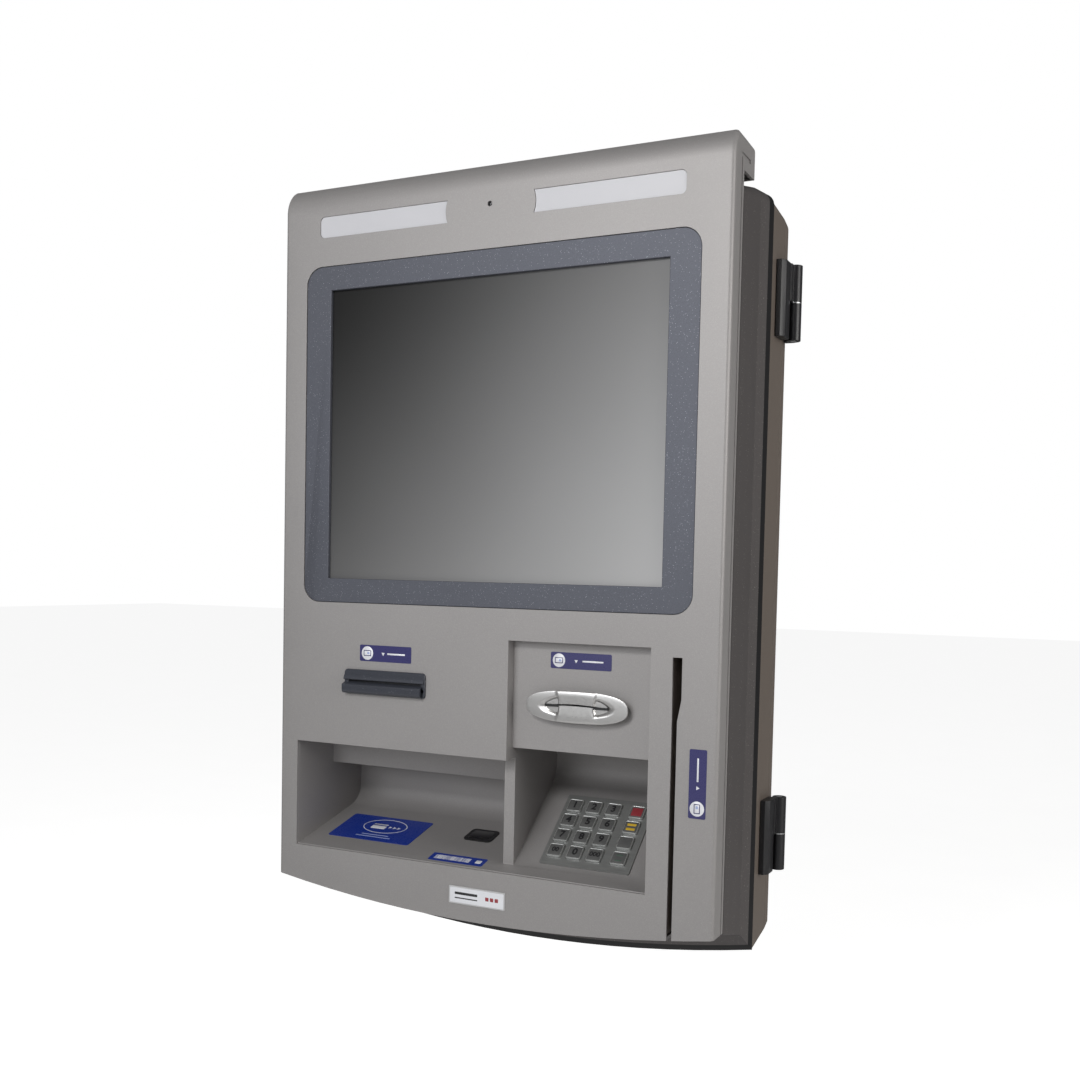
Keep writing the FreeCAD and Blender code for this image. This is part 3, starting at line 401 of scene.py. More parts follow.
# %% [markdown]
# ## Dressing the fixed pieces
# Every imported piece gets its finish. A moulded edge is never knife sharp, and the soft line of
# light along it is much of what makes a shell look real. So the shells that show are copied,
# their loose triangles are merged, and a Bevel modifier rounds the copy's sharp edges; the copy
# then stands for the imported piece.

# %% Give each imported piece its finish
for name, part in frame["nodes"].items():
    part.data.materials.clear()
    part.data.materials.append(slot_grey if name == "swipe_guide" else finishes[slots[name]])


# %% Rounded copies of the shells
def baked(source, name):
    """A plain mesh object of what the modifiers make of the source, which is then removed."""
    graph = bpy.context.evaluated_depsgraph_get()
    mesh = bpy.data.meshes.new_from_object(source.evaluated_get(graph), depsgraph=graph)
    result = bpy.data.objects.new(name, mesh)
    bpy.context.scene.collection.objects.link(result)
    bpy.data.objects.remove(source)
    return result


def rounded_copy(name, width, segments=2):
    part = frame["nodes"][name]
    mesh = part.data.copy()
    work = bmesh.new()
    work.from_mesh(mesh)
    bmesh.ops.remove_doubles(work, verts=work.verts, dist=0.00001)
    bmesh.ops.dissolve_limit(work, angle_limit=math.radians(0.5), verts=work.verts, edges=work.edges)
    work.to_mesh(mesh)
    work.free()
    copy = bpy.data.objects.new(name + "_work", mesh)
    bpy.context.scene.collection.objects.link(copy)
    bevel = copy.modifiers.new("soft edges", "BEVEL")
    bevel.width = width * MM
    bevel.segments = segments
    bevel.limit_method = "ANGLE"
    bevel.angle_limit = math.radians(38)
    bevel.use_clamp_overlap = True
    bevel.harden_normals = True
    for face in mesh.polygons:
        face.use_smooth = True
    mesh.set_sharp_from_angle(angle=math.radians(32))
    done = baked(copy, name + "_shell")
    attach(done, body_of[name])
    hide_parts(name)
    return done


SOFT_EDGES = {"fascia": 0.7, "shelf_tub": 0.7, "surround": 0.9, "door_frame": 0.9, "wall_tray": 0.8,
              "screen_bezel": 0.7, "hinge_door_leaves": 0.7, "hinge_wall_leaves": 0.7,
              "keypad_plate": 0.35, "lock_barrel": 0.4, "badge": 0.3}
for name, width in SOFT_EDGES.items():
    shell = rounded_copy(name, width)
    print(name, "faces", len(shell.data.polygons))


# %% [markdown]
# ## Stacked outlines
# Key caps, the receipt mouth and many small pieces have one outline that shrinks or grows as it
# rises. The helper below stacks rounded rectangles, joins each to the next with a strip of
# faces, and closes both ends, which gives a clean closed mesh with as many steps as the
# rounding needs.

# %% Rounded outlines stacked into a solid
def rounded_loop(half_x, half_y, radius, steps=5):
    points = []
    for quarter in range(4):
        cx = (half_x - radius) * (1 if quarter in (0, 3) else -1)
        cy = (half_y - radius) * (1 if quarter in (0, 1) else -1)
        for i in range(steps + 1):
            a = math.pi / 2 * (quarter + i / steps)
            points.append((cx + radius * math.cos(a), cy + radius * math.sin(a)))
    return points


def stacked(name, half_x, half_y, radius, levels, place, material):
    """Levels are (inset, height) pairs from bottom to top; place maps local mm to metres."""
    work = bmesh.new()
    rings = []
    for inset, height in levels:
        loop = rounded_loop(half_x - inset, half_y - inset, max(radius - inset, 0.2))
        rings.append([work.verts.new(place @ Vector((x, y, height))) for x, y in loop])
    count = len(rings[0])
    for low, high in zip(rings, rings[1:]):
        for i in range(count):
            k = (i + 1) % count
            work.faces.new((low[i], low[k], high[k], high[i]))
    work.faces.new(list(reversed(rings[0])))
    work.faces.new(rings[-1])
    return finished(work, name, material)


def finished(work, name, material, smooth=True, sharp=35):
    """Turn a bmesh into an object in the scene, normals outwards."""
    bmesh.ops.recalc_face_normals(work, faces=work.faces)
    mesh = bpy.data.meshes.new(name)
    work.to_mesh(mesh)
    work.free()
    mesh.materials.append(material)
    if smooth:
        for face in mesh.polygons:
            face.use_smooth = True
        mesh.set_sharp_from_angle(angle=math.radians(sharp))
    made = bpy.data.objects.new(name, mesh)
    bpy.context.scene.collection.objects.link(made)
    return made


# %% [markdown]
# ## The keypad
# Each key is a steel cap with a raised rim round a darker brushed face. The rim's steel is painted
# lighter than the face's, a painted highlight along the raised edge. The sloped plane of the keypad
# is found from two facts in the frame: the joints press along its normal, and the keys' boxes give
# their centres. A local frame on that plane then places caps and numbers alike.

# %% The keypad's own plane
press = next(j for j in frame["joints"] if j["name"] == "press_5")
normal = -Vector(press["axis"]).normalized()
along = Vector((1, 0, 0))
upslope = normal.cross(along).normalized()
KEY_W, KEY_H, KEY_R = 16.0, 15.5, 2.0
CAP_TOP, CAP_LOW = 3.9, -0.5


def reach(name, direction):
    """Least and greatest distance of a node's points along a direction, in millimetres."""
    along_it = [Vector(v.co).dot(direction) / MM for v in frame["nodes"][name].data.vertices]
    return min(along_it), max(along_it)


def key_place(name):
    """Matrix from key coordinates (across, up the slope, outward; mm) to metres."""
    across = sum(reach(name, along)) / 2
    up = sum(reach(name, upslope)) / 2
    out = reach(name, normal)[1] - CAP_TOP
    axes = Matrix((along, upslope, normal)).transposed().to_4x4()
    return Matrix.Scale(MM, 4) @ Matrix.Translation(across * along + up * upslope + out * normal) @ axes


# %% Key caps with raised rims
RIM_LEVELS = [(0.0, CAP_LOW), (0.0, 3.3), (0.12, 3.65), (0.4, CAP_TOP), (0.75, CAP_TOP), (1.0, 3.72),
              (1.15, 3.5)]
RIM_WIDTH = 1.1
FACE_HEIGHT = 3.45
key_nodes = [n for n in frame["nodes"] if n.startswith("key_")]
for name in key_nodes:
    place = key_place(name)
    cap = stacked(name + "_cap", KEY_W / 2, KEY_H / 2, KEY_R, RIM_LEVELS, place, rim_steel)
    face = stacked(name + "_face", KEY_W / 2 - RIM_WIDTH, KEY_H / 2 - RIM_WIDTH, 1.2,
                   [(0.0, FACE_HEIGHT - 0.4), (0.0, FACE_HEIGHT + 0.08), (0.05, FACE_HEIGHT + 0.1)], place,
                   key_steel)
    for piece in (cap, face):
        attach(piece, name)
    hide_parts(name)
print("key caps", len(key_nodes))


# %% [markdown]
# ### Numbers on the keys
# Numbers are text objects turned into meshes and set just above the key's face. Three function
# keys carry a colour patch or two plain bars instead of words.

# %% Flat marks on a key
BOLDER = 0.035    # share of the size by which a digit's strokes are thickened


def flat_text(words, size, place, material, name, thick=0.05):
    curve = bpy.data.curves.new(name, "FONT")
    curve.body = words
    curve.size = size
    curve.align_x, curve.align_y = "CENTER", "CENTER"
    curve.extrude = thick
    curve.offset = BOLDER * size
    curve.resolution_u = 3
    source = bpy.data.objects.new(name + "_work", curve)
    bpy.context.scene.collection.objects.link(source)
    made = baked(source, name)
    made.data.transform(place)
    made.data.materials.clear()
    made.data.materials.append(material)
    return made


def patch(name, place, x, y, half_x, half_y, height, material, radius=0.6, thick=0.06):
    shift = place @ Matrix.Translation((x, y, height))
    return stacked(name, half_x, half_y, radius, [(0, 0), (0, thick * 0.7), (0.03, thick)], shift, material)


MARK_HEIGHT = FACE_HEIGHT + 0.12
DIGIT_SIZE, ZEROS_SIZE = 11.0, 7.6
for name in key_nodes:
    place = key_place(name)
    label = name[4:]
    marks = []
    if label.isdigit():
        size = DIGIT_SIZE if len(label) == 1 else ZEROS_SIZE
        marks.append(flat_text(label, size, place @ Matrix.Translation((0, 0.4, MARK_HEIGHT)), dark_ink,
                               name + "_number"))
    elif label == "cancel":
        marks.append(patch(name + "_colour", place, 0, 0, 5.6, 5.2, MARK_HEIGHT, red_ink))
    elif label == "clear":
        marks += [patch(name + "_bar_%d" % i, place, 0, y, 4.8, 1.5, MARK_HEIGHT, yellow_ink)
                  for i, y in enumerate((-2.8, 2.8))]
    elif label == "enter":
        marks += [patch(name + "_bar_%d" % i, place, 0, y, 3.6, 0.7, MARK_HEIGHT, green_ink)
                  for i, y in enumerate((-3.2, 3.2))]
    for mark in marks:
        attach(mark, name)


# %% [markdown]
# ## The card reader's mouth
# This is a satin-plated oval set on the plane of the card panel's front edge. A low bridge crosses
# its middle, and beside the bridge the surface dips so that a finger can follow the card. Such a
# form is easiest as a height over an oval grid: a rounded rim, less the two dips, blended into the
# bridge, with the slot left open.

# %% The oval, as heights over a grid
mouth_low, mouth_high = span("card_reader_bezel")
edge_y = span("card_panel")[0].y    # the panel's front edge, ahead of the recess's face
OVAL_X = (mouth_high.x - mouth_low.x) / 2
OVAL_Z = (mouth_high.z - mouth_low.z) / 2
OVAL_RISE = edge_y - mouth_low.y
RIM_RISE = 0.50 * OVAL_RISE
OVAL_BACK = 1.5
BRIDGE_HALF, WAIST_PINCH, SIDE_SOFT = 21.5, 2.2, 1.5
BRIDGE_TOP, BRIDGE_SAG, SAG_REACH = 0.98, 0.26, 0.72
DIP_X, DIP_Z, DIP_DEEP = 36.0, 9.5, 3.4
SLOT_HALF, SLOT_ARCH = 33.0, 2.2
SLOT_ROW = 0.055
FULLNESS = 2.6    # 2 is an ellipse; more is fuller towards its corners
COLUMNS = 214
half_rows = [1, 0.995, 0.98, 0.955, 0.92, 0.88, 0.83, 0.77, 0.7, 0.63, 0.56, 0.49, 0.42, 0.35, 0.29,
             0.23, 0.18, 0.13, 0.09, SLOT_ROW * 1.06, SLOT_ROW]
slot_rows = [-v for v in half_rows] + list(reversed(half_rows))
print("oval rises", round(OVAL_RISE, 1), "mm from the panel's front edge")


def ease(value, start, end):
    t = min(1.0, max(0.0, (value - start) / (end - start)))
    return t * t * (3 - 2 * t)


def fuller(x, z):
    """Distance from the middle, measured so that the oval is fuller than an ellipse."""
    return (abs(x) ** FULLNESS + abs(z) ** FULLNESS) ** (1 / FULLNESS)


def oval_height(x, z):
    rho = min(1.0, fuller(x / OVAL_X, z / OVAL_Z))
    rim = RIM_RISE * (1 - rho ** 3) ** 0.5
    dip = ease(math.hypot(x / DIP_X, z / DIP_Z), 1.15, 0.72)
    side = rim - DIP_DEEP * dip
    waist = BRIDGE_HALF - WAIST_PINCH * (1 - (z / OVAL_Z) ** 2)
    sag = BRIDGE_SAG * max(0.0, 1 - abs(z) / (SAG_REACH * OVAL_Z)) ** 1.3
    bridge = OVAL_RISE * (BRIDGE_TOP - sag) * (1 - rho ** 8) ** 0.5
    return side + (max(bridge, side) - side) * ease(abs(x), waist + SIDE_SOFT, waist - SIDE_SOFT)


def make_oval():
    work = bmesh.new()
    centre = (mouth_low + mouth_high) / 2
    grid = []
    for v in slot_rows:
        row = []
        for i in range(COLUMNS + 1):
            u = -math.cos(math.pi * i / COLUMNS) if i not in (0, COLUMNS) else (-1 if i == 0 else 1)
            x, z = u * math.sqrt(1 - v * v / 2), v * math.sqrt(1 - u * u / 2)
            grow = math.hypot(x, z) / max(fuller(x, z), 0.0001)
            x, z = x * grow * OVAL_X, z * grow * OVAL_Z
            arch = SLOT_ARCH * max(0.0, 1 - (x / SLOT_HALF) ** 2) * (1 - abs(v))
            point = Vector((centre.x + x, edge_y - oval_height(x, z), centre.z + z + arch)) * MM
            row.append(work.verts.new(point))
        grid.append(row)
    middle = len(half_rows) - 1
    for k, (low, high) in enumerate(zip(grid, grid[1:])):
        for i in range(COLUMNS):
            reach_x = max(abs(vert.co.x / MM - centre.x) for vert in (low[i], low[i + 1]))
            if k != middle or reach_x >= SLOT_HALF:
                work.faces.new((low[i], low[i + 1], high[i + 1], high[i]))
    bmesh.ops.remove_doubles(work, verts=work.verts, dist=0.000004)
    rim = [e for e in work.edges if e.is_boundary]
    back = bmesh.ops.extrude_edge_only(work, edges=rim)["geom"]
    for vert in [g for g in back if isinstance(g, bmesh.types.BMVert)]:
        vert.co.y = (edge_y + OVAL_BACK) * MM
    bmesh.ops.contextual_create(work, geom=[e for e in work.edges if e.is_boundary])
    return finished(work, "card_reader_mouth", finishes["satin_chrome"], sharp=60)


oval = make_oval()
mouth_centre = (mouth_low + mouth_high) / 2
throat = stacked("card_reader_throat", SLOT_HALF + 0.4, 1.2, 0.4, [(0, -1.4), (0, 0.3), (0.2, 0.5)],
                 Matrix.Scale(MM, 4) @ Matrix.Translation((mouth_centre.x, edge_y, mouth_centre.z + 0.6))
                 @ Matrix.Rotation(math.radians(90), 4, "X"), finishes["black_plastic"])
for piece in (oval, throat):
    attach(piece, "door")
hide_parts("card_reader_bezel")
print("card reader mouth faces", len(oval.data.polygons))


# %% [markdown]
# ## The receipt mouth
# A dark moulding with a plate, a hood over the slot and a lip that juts out below it to catch the
# paper. The hood and the lip are each one side outline drawn along the width. Their ends are
# dished inwards a little.

# %% Side outlines drawn along the width
def drawn_bar(name, outline, x0, x1, material, dish, steps=3):
    """Draw a side outline of (y, z) points along X, with a shallow dish in both ends."""
    middle_y = sum(p[0] for p in outline) / len(outline)
    middle_z = sum(p[1] for p in outline) / len(outline)
    stations = []
    for i in range(steps + 1):
        a = math.pi / 2 * i / steps
        stations.append((x0 + dish * (1 - math.sin(a)), dish - dish * math.sin(a)))
    stations += [(x0 + x1 - x, s) for x, s in reversed(stations)]
    work = bmesh.new()
    rings = []
    for x, shrink in stations:
        ring = []
        for y, z in outline:
            away = Vector((y - middle_y, z - middle_z))
            keep = max(0.2, 1 - shrink / max(away.length, 0.01))
            ring.append(work.verts.new(Vector((x, middle_y + away.x * keep, middle_z + away.y * keep)) * MM))
        rings.append(ring)
    count = len(outline)
    for low, high in zip(rings, rings[1:]):
        for i in range(count):
            k = (i + 1) % count
            work.faces.new((low[i], low[k], high[k], high[i]))
    work.faces.new(rings[0])
    work.faces.new(list(reversed(rings[-1])))
    return finished(work, name, material, sharp=50)


def bend(cy, cz, r, start, end, steps=5):
    """Points on an arc, in degrees, as (y, z)."""
    return [(cy + r * math.cos(math.radians(start + (end - start) * i / steps)),
             cz + r * math.sin(math.radians(start + (end - start) * i / steps))) for i in range(steps + 1)]


slot_low, slot_high = span("receipt_mouth")
face_y = span("fascia")[0].y
lip_y = slot_low.y
base, top = slot_low.z, slot_high.z
mid_z = (base + top) / 2
x0, x1 = slot_low.x, slot_high.x
turn = Matrix.Rotation(math.radians(90), 4, "X")
front_plane = Matrix.Scale(MM, 4) @ Matrix.Translation(((x0 + x1) / 2, face_y, mid_z)) @ turn
SLOT_OPEN = 2.0
half_w, half_h = (x1 - x0) / 2, (top - base) / 2
plate_levels = [(0, -2.6), (0, 1.6), (0.25, 2.3), (0.9, 2.8)]
upper_half = (half_h - SLOT_OPEN) / 2
pieces = [
    stacked("mouth_plate_upper", half_w, upper_half, 4.0, plate_levels,
            front_plane @ Matrix.Translation((0, half_h - upper_half, 0)), finishes["mouth_plastic"]),
    stacked("mouth_plate_lower", half_w, upper_half, 4.0, plate_levels,
            front_plane @ Matrix.Translation((0, upper_half - half_h, 0)), finishes["mouth_plastic"]),
    stacked("mouth_throat", half_w - 4.6, SLOT_OPEN + 1.2, 1.0, [(0, -2.8), (0, -0.8), (0.3, -0.6)],
            front_plane, finishes["black_plastic"]),
]
for side in (-1, 1):
    x = side * (half_w - 2.5)
    pieces.append(stacked("mouth_end_%d" % (side + 1), 2.5, half_h * 0.62, 1.8, plate_levels,
                          front_plane @ Matrix.Translation((x, 0, 0)), finishes["mouth_plastic"]))
ridge_z, back_z, hood_z = mid_z - 2.4, mid_z + 0.2, mid_z + SLOT_OPEN
lip = [(face_y + 0.5, base + 1.2)] + bend(lip_y + 4.2, base + 4.8, 4.1, 270, 180)
lip += bend(lip_y + 1.1, ridge_z - 1.0, 1.0, 180, 115) + [(face_y - 1.0, back_z), (face_y + 0.5, back_z)]
hood = [(face_y + 0.5, hood_z)] + bend(face_y - 3.6, hood_z + 1.0, 1.0, 270, 180)
hood += [(face_y - 4.0, hood_z + 3.0), (face_y - 2.6, hood_z + 5.5), (face_y + 0.5, hood_z + 5.5)]
pieces.append(drawn_bar("mouth_lip", lip, x0 + 0.6, x1 - 2.4, finishes["mouth_plastic"], 1.8))
pieces.append(drawn_bar("mouth_hood", hood, x0 + 0.4, x1 - 0.4, finishes["mouth_plastic"], 0.8))
for piece in pieces:
    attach(piece, "door")
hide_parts("receipt_mouth")


# %% [markdown]
# ## Labels
# The function labels are printed film with a white disc, a plain pictogram and a small arrow.
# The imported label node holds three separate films, so a flood fill over its mesh finds the box
# of each one, and the prints are placed from those boxes.

# %% Boxes of the separate solids in a node
def islands(name):
    work = bmesh.new()
    work.from_mesh(frame["nodes"][name].data)
    bmesh.ops.remove_doubles(work, verts=work.verts, dist=0.000001)
    left = set(work.verts)
    boxes = []
    while left:
        stack = [left.pop()]
        found = []
        while stack:
            vert = stack.pop()
            found.append(vert.co.copy() / MM)
            for edge in vert.link_edges:
                other = edge.other_vert(vert)
                if other in left:
                    left.remove(other)
                    stack.append(other)
        low = Vector([min(p[i] for p in found) for i in range(3)])
        high = Vector([max(p[i] for p in found) for i in range(3)])
        boxes.append((low, high))
    work.free()
    return sorted(boxes, key=lambda pair: pair[0].x)


def on_front(x, y, z, turned=0.0):
    """Matrix for flat work on a face that looks forward, at a point in millimetres."""
    spin = Matrix.Rotation(math.radians(turned), 4, "Z")
    return Matrix.Scale(MM, 4) @ Matrix.Translation((x, y, z)) @ turn @ spin


def disc(name, radius, place, material, thick=0.06):
    levels = [(0, 0), (0, thick * 0.7), (0.03, thick)]
    return stacked(name, radius, radius, radius - 0.001, levels, place, material)


def triangle(name, size, place, material, thick=0.06):
    work = bmesh.new()
    rings = []
    for height in (0, thick):
        rings.append([work.verts.new(place @ Vector((size * math.cos(a), size * math.sin(a), height)))
                      for a in (math.radians(30), math.radians(150), math.radians(270))])
    for i in range(3):
        k = (i + 1) % 3
        work.faces.new((rings[0][i], rings[0][k], rings[1][k], rings[1][i]))
    work.faces.new(rings[0])
    work.faces.new(rings[1])
    return finished(work, name, material, smooth=False)


def print_label(index, low, high):
    """Disc, pictogram, arrow and a plain line, along the label's longer side."""
    tall = (high.z - low.z) > (high.x - low.x)
    length = (high.z - low.z) if tall else (high.x - low.x)
    width = (high.x - low.x) if tall else (high.z - low.z)
    centre = (low + high) / 2
    place = on_front(centre.x, low.y, centre.z, 90 if tall else 0)
    start = -length / 2 + width * 0.55
    navy = finishes["label_navy"]
    name = "label_%d_" % index

    def shift(x):
        return place @ Matrix.Translation((x, 0, 0))

    def bar(part, x, half_x, half_y, height, material, radius):
        return patch(name + part, place, x, 0, half_x, half_y, height, material, radius)

    made = [disc(name + "disc", width * 0.42, shift(start), white_ink),
            bar("card", start, width * 0.27, width * 0.18, 0.07, navy, 0.5),
            bar("card_face", start, width * 0.22, width * 0.13, 0.14, white_ink, 0.4),
            bar("chip", start + width * 0.08, width * 0.08, width * 0.07, 0.2, pale_ink, 0.3),
            triangle(name + "arrow", width * 0.13, shift(start + width * 1.15), white_ink),
            bar("line", start + length * 0.56, length * 0.17, width * 0.05, 0.0, white_ink, 0.3)]
    for piece in made:
        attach(piece, "door")


for index, (low, high) in enumerate(islands("function_labels")):
    print_label(index, low, high)


# %% [markdown]
# ### The contactless pad and the code label
# Both lie on the shelf, which rises towards the back at one angle. A node's reach along the shelf's
# own directions gives the place for its print. The pad's print is a plain oval ring with a card
# and three arrows in it. The code label's stripes repeat, so Geometry Nodes lay them along a line.

# %% The shelf's plane
SHELF_ANGLE = math.radians(14.3)
shelf_up = Vector((0, math.cos(SHELF_ANGLE), math.sin(SHELF_ANGLE)))
shelf_out = Vector((0, -math.sin(SHELF_ANGLE), math.cos(SHELF_ANGLE)))


def on_shelf(name):
    """Matrix for flat work on top of a node that lies on the shelf, centred on it."""
    across = sum(reach(name, along)) / 2
    up = sum(reach(name, shelf_up)) / 2
    out = reach(name, shelf_out)[1]
    axes = Matrix((along, shelf_up, shelf_out)).transposed().to_4x4()
    return Matrix.Scale(MM, 4) @ Matrix.Translation(across * along + up * shelf_up + out * shelf_out) @ axes


def oval_ring(name, half_x, half_y, width, place, material, thick=0.06, count=64):
    work = bmesh.new()
    turns = [2 * math.pi * i / count for i in range(count)]
    rings = []
    for grow, height in ((0, 0), (0, thick), (-width, thick), (-width, 0)):
        points = [((half_x + grow) * math.cos(a), (half_y + grow) * math.sin(a), height) for a in turns]
        rings.append([work.verts.new(place @ Vector(point)) for point in points])
    for low, high in zip(rings, rings[1:] + rings[:1]):
        for i in range(count):
            k = (i + 1) % count
            work.faces.new((low[i], low[k], high[k], high[i]))
    return finished(work, name, material, smooth=False)


pad_place = on_shelf("contactless_label")
prints = [oval_ring("pad_ring", 27, 16, 0.9, pad_place @ Matrix.Translation((2, 6, 0)), white_ink),
          patch("pad_card", pad_place, -5, 5, 9, 5.6, 0.0, white_ink, 1.2),
          patch("pad_card_stripe", pad_place, -5, 7.2, 9, 1.0, 0.08, finishes["label_blue"], 0.3),
          patch("pad_line_a", pad_place, 2, -15, 17, 0.8, 0.0, pale_ink, 0.3),
          patch("pad_line_b", pad_place, 2, -19.5, 22, 0.8, 0.0, pale_ink, 0.3)]
for i in range(3):
    prints.append(triangle("pad_arrow_%d" % i, 2.6, pad_place @ Matrix.Translation((9 + 5.5 * i, 5, 0))
                           @ Matrix.Rotation(math.radians(90), 4, "Z"), white_ink))
for piece in prints:
    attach(piece, "door")


# %% Stripes on the code label, with Geometry Nodes
def tree_input(tree, label, kind, value):
    socket = tree.interface.new_socket(name=label, in_out="INPUT", socket_type=kind)
    socket.default_value = value
    return socket.identifier


def stripe_tree():
    """Thin blocks at even steps whose widths vary, from a fixed seed."""
    tree = bpy.data.node_groups.new("code_stripes", "GeometryNodeTree")
    tree.interface.new_socket(name="Geometry", in_out="INPUT", socket_type="NodeSocketGeometry")
    ids = {"Count": tree_input(tree, "Count", "NodeSocketInt", 20),
           "Step": tree_input(tree, "Step", "NodeSocketFloat", 0.002),
           "Height": tree_input(tree, "Height", "NodeSocketFloat", 0.008)}
    tree.interface.new_socket(name="Geometry", in_out="OUTPUT", socket_type="NodeSocketGeometry")
    given, out = tree.nodes.new("NodeGroupInput"), tree.nodes.new("NodeGroupOutput")
    links = tree.links
    line = tree.nodes.new("GeometryNodeMeshLine")
    links.new(given.outputs["Count"], line.inputs["Count"])
    step = tree.nodes.new("ShaderNodeCombineXYZ")
    links.new(given.outputs["Step"], step.inputs["X"])
    links.new(step.outputs[0], line.inputs["Offset"])
    block = tree.nodes.new("GeometryNodeMeshCube")
    size = tree.nodes.new("ShaderNodeCombineXYZ")
    links.new(given.outputs["Step"], size.inputs["X"])
    links.new(given.outputs["Height"], size.inputs["Y"])
    size.inputs["Z"].default_value = 0.06 * MM
    links.new(size.outputs[0], block.inputs["Size"])
    spread = tree.nodes.new("FunctionNodeRandomValue")
    spread.data_type = "FLOAT_VECTOR"
    spread.inputs["Min"].default_value = (0.25, 1, 1)
    spread.inputs["Max"].default_value = (0.85, 1, 1)
    spread.inputs["Seed"].default_value = 7
    copies = tree.nodes.new("GeometryNodeInstanceOnPoints")
    links.new(line.outputs["Mesh"], copies.inputs["Points"])
    links.new(block.outputs["Mesh"], copies.inputs["Instance"])
    links.new(spread.outputs["Value"], copies.inputs["Scale"])
    real = tree.nodes.new("GeometryNodeRealizeInstances")
    links.new(copies.outputs[0], real.inputs[0])
    coat = tree.nodes.new("GeometryNodeSetMaterial")
    coat.inputs["Material"].default_value = white_ink
    links.new(real.outputs[0], coat.inputs["Geometry"])
    links.new(coat.outputs[0], out.inputs[0])
    return tree, ids


def run_tree(name, tree, values):
    """Run a Geometry Nodes tree on an empty mesh and return the plain result."""
    holder = bpy.data.objects.new(name + "_work", bpy.data.meshes.new(name + "_work"))
    bpy.context.scene.collection.objects.link(holder)
    modifier = holder.modifiers.new("nodes", "NODES")
    modifier.node_group = tree
    for key, value in values.items():
        modifier[key] = value
    return baked(holder, name)


STRIPES = 26
STRIPE_STEP, STRIPE_HEIGHT, STRIPE_START, STRIPE_LIFT = 1.6, 8.0, -26, 0.03
stripe_nodes, stripe_ids = stripe_tree()
code_place = on_shelf("code_label")
stripes = run_tree("code_stripes", stripe_nodes, {stripe_ids["Count"]: STRIPES,
                                                  stripe_ids["Step"]: STRIPE_STEP * MM,
                                                  stripe_ids["Height"]: STRIPE_HEIGHT * MM})
to_metres = code_place @ Matrix.Scale(1 / MM, 4)
stripes.data.transform(to_metres @ Matrix.Translation((STRIPE_START * MM, 0, STRIPE_LIFT * MM)))
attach(stripes, "door")
mark = patch("code_mark", code_place, 24.5, 0, 3.2, 3.2, 0, white_ink, 0.8)
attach(mark, "door")


# %% [markdown]
# ## Small fittings
# The camera is a lens in a short barrel, and the fingerprint reader a glossy window in a black
# frame. The badge is a plain plate with a white field, two dark bars and three red squares.

# %% Camera, fingerprint window and badge
cam_low, cam_high = span("camera_module")
lens_x, lens_z = (cam_low.x + cam_high.x) / 2, (cam_low.z + cam_high.z) / 2
lens_black = painted("lens_black", (0.004, 0.004, 0.006), (0.02, 0.02, 0.03), 0.0, 1.0, 0.1, 0.12, 0.001, 0.6)
lens_place = on_front(lens_x, cam_low.y, lens_z)
lens = stacked("camera_lens", 1.9, 1.9, 1.899, [(0, -1.2), (0, 0.05), (0.35, 0.25), (0.9, 0.3)], lens_place,
               lens_black)
window_place = on_shelf("fingerprint_sensor")
window = stacked("fingerprint_window", 12.5, 9.5, 3.0, [(0, -0.3), (0, 0.03), (0.25, 0.08)], window_place,
                 lens_black)
badge_low, badge_high = span("badge")
badge_mid = (badge_low + badge_high) / 2
badge_place = on_front(badge_mid.x, badge_low.y, badge_mid.z)
badge_half = (badge_high - badge_low) / 2
BADGE_EDGE, PRINT_HEIGHT = 1.4, 0.08
marks = [stacked("badge_field", badge_half.x - BADGE_EDGE, badge_half.z - BADGE_EDGE, 0.8,
                 [(0, -0.2), (0, 0.03), (0.15, 0.06)], badge_place, white_ink),
         patch("badge_bar_a", badge_place, -12, 2.0, 13, 1.3, PRINT_HEIGHT, dark_ink, 0.5),
         patch("badge_bar_b", badge_place, -12, -2.8, 13, 0.6, PRINT_HEIGHT, dark_ink, 0.3)]
marks += [patch("badge_square_%d" % i, badge_place, 12 + 5.4 * i, 0, 1.9, 1.9, PRINT_HEIGHT, red_ink, 0.4)
          for i in range(3)]
for piece, slot in [(lens, "black_plastic"), (window, "black_plastic")] + [(m, "badge_silver") for m in marks]:
    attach(piece, "door")


# %% [markdown]
# ## Light, floor and camera
# A lamp high in front throws the short shadows under the shelf's ledges. A wider, weaker one fills
# from the left of it, and a large one lights the cabinet's side from the right. The floor and the
# backdrop are plain and pale. The camera stands low to the right, where the screen's height and
# the side of the cabinet both show.

# %% Floor and lamps
low, high = [Vector(c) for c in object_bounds()]
FLOOR_DROP = 0.30
work = bmesh.new()
bmesh.ops.create_grid(work, x_segments=1, y_segments=1, size=14.0)
for vert in work.verts:
    vert.co.z = low.z - FLOOR_DROP
floor_white = painted("floor_white", (0.80, 0.80, 0.80), (0.9, 0.9, 0.9), 0.0, 1.0, 0.02, 0.9, 0.001)
floor_tree = floor_white.node_tree
floor_shader = floor_tree.nodes["Principled BSDF"]
direct = floor_tree.nodes.new("ShaderNodeLightPath").outputs["Is Camera Ray"]
floor_shader.inputs["Emission Color"].default_value = (1, 1, 1, 1)
floor_tree.links.new(math_node(floor_tree, "MULTIPLY", direct, 0.80), floor_shader.inputs["Emission Strength"])
floor = finished(work, "floor", floor_white, smooth=False)


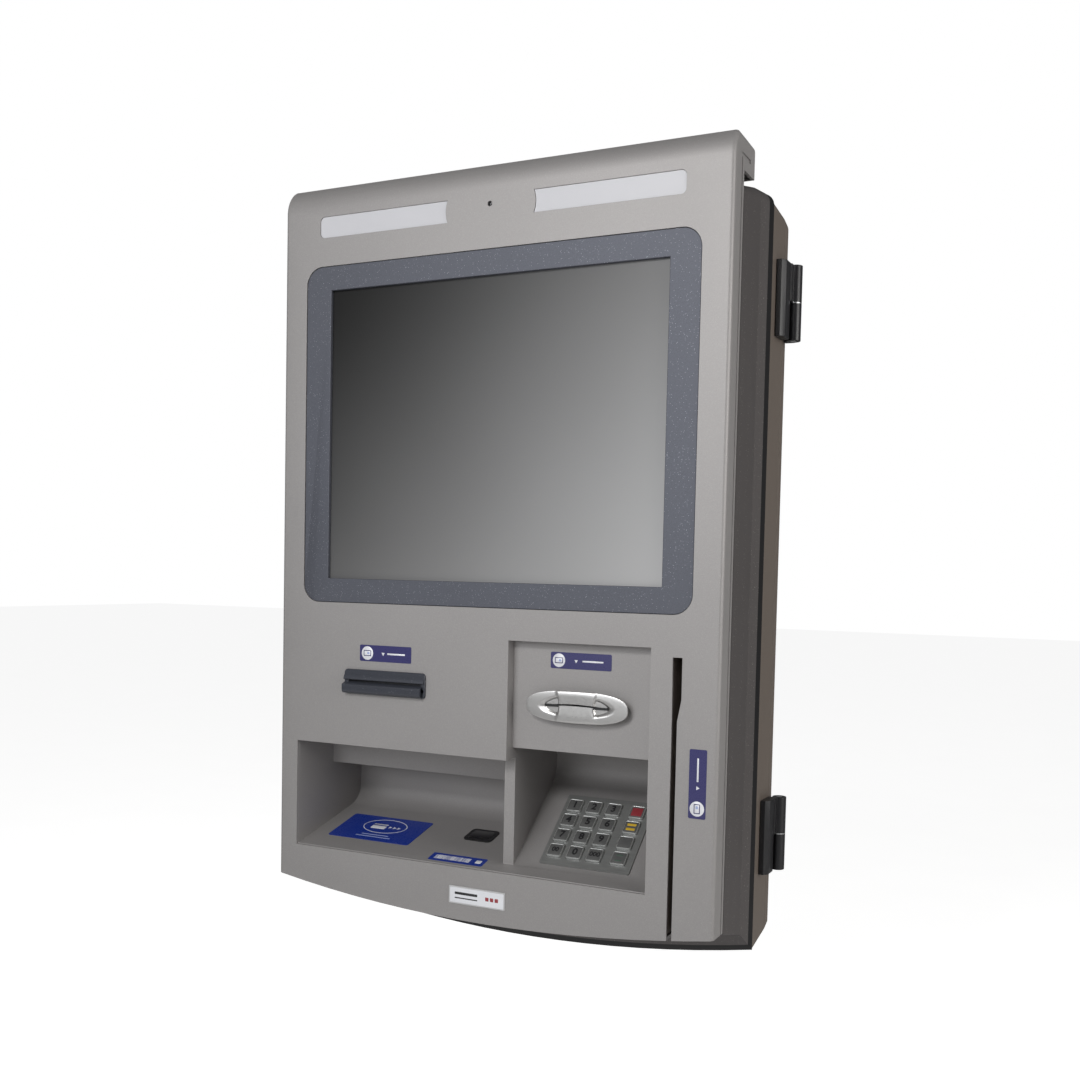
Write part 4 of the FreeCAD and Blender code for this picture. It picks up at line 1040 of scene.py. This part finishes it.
def lamp(name, place, target, size, power, colour=(1, 1, 1)):
    light = bpy.data.lights.new(name, "AREA")
    light.shape = "DISK"
    light.size = size
    light.energy = power
    light.color = colour
    made = bpy.data.objects.new(name, light)
    made.location = place
    made.rotation_euler = (Vector(target) - Vector(place)).to_track_quat("-Z", "Y").to_euler()
    bpy.context.scene.collection.objects.link(made)


lamp("ceiling", (-0.05, -1.95, 1.05), (0, 0, -0.05), 0.45, 17, (1.0, 0.99, 0.975))
lamp("room", (-0.42, -1.9, 0.42), (0.1, 0, 0.1), 0.9, 9.5, (0.96, 0.98, 1.0))
lamp("side", (2.2, -0.42, 0.35), (0, 0, 0), 1.2, 23, (1.0, 0.985, 0.96))
world = bpy.data.worlds.new("studio")
bpy.context.scene.world = world
world.use_nodes = True
sky = world.node_tree
ambient = sky.nodes["Background"]
ambient.inputs["Color"].default_value = (1, 1, 1, 1)
ambient.inputs["Strength"].default_value = 0.16
backdrop = node(sky, "ShaderNodeBackground", Color=(1, 1, 1, 1), Strength=1.0)
seen = sky.nodes.new("ShaderNodeLightPath")
blend = sky.nodes.new("ShaderNodeMixShader")
sky.links.new(seen.outputs["Is Camera Ray"], blend.inputs[0])
sky.links.new(ambient.outputs[0], blend.inputs[1])
sky.links.new(backdrop.outputs[0], blend.inputs[2])
sky.links.new(blend.outputs[0], sky.nodes["World Output"].inputs[0])
bpy.context.scene.view_settings.view_transform = "Standard"


# %% Camera
EYE = Vector((577.0, -1197.8, 3.1)) * MM
RIGHT = Vector((0.899050, 0.437333, 0.021213))
DOWN = Vector((0.040610, -0.035048, -0.998563))
AHEAD = Vector((-0.43596, 0.89862, -0.04927))
camera = bpy.data.cameras.new("camera")
camera.sensor_width = 36.0
camera.lens = 39.94
camera.shift_x = -0.0067
camera.shift_y = 0.0824
camera.clip_start = 0.05
viewer = bpy.data.objects.new("camera", camera)
viewer.matrix_world = Matrix.Translation(EYE) @ Matrix((RIGHT, -DOWN, -AHEAD)).transposed().to_4x4()
bpy.context.scene.collection.objects.link(viewer)
bpy.context.scene.camera = viewer
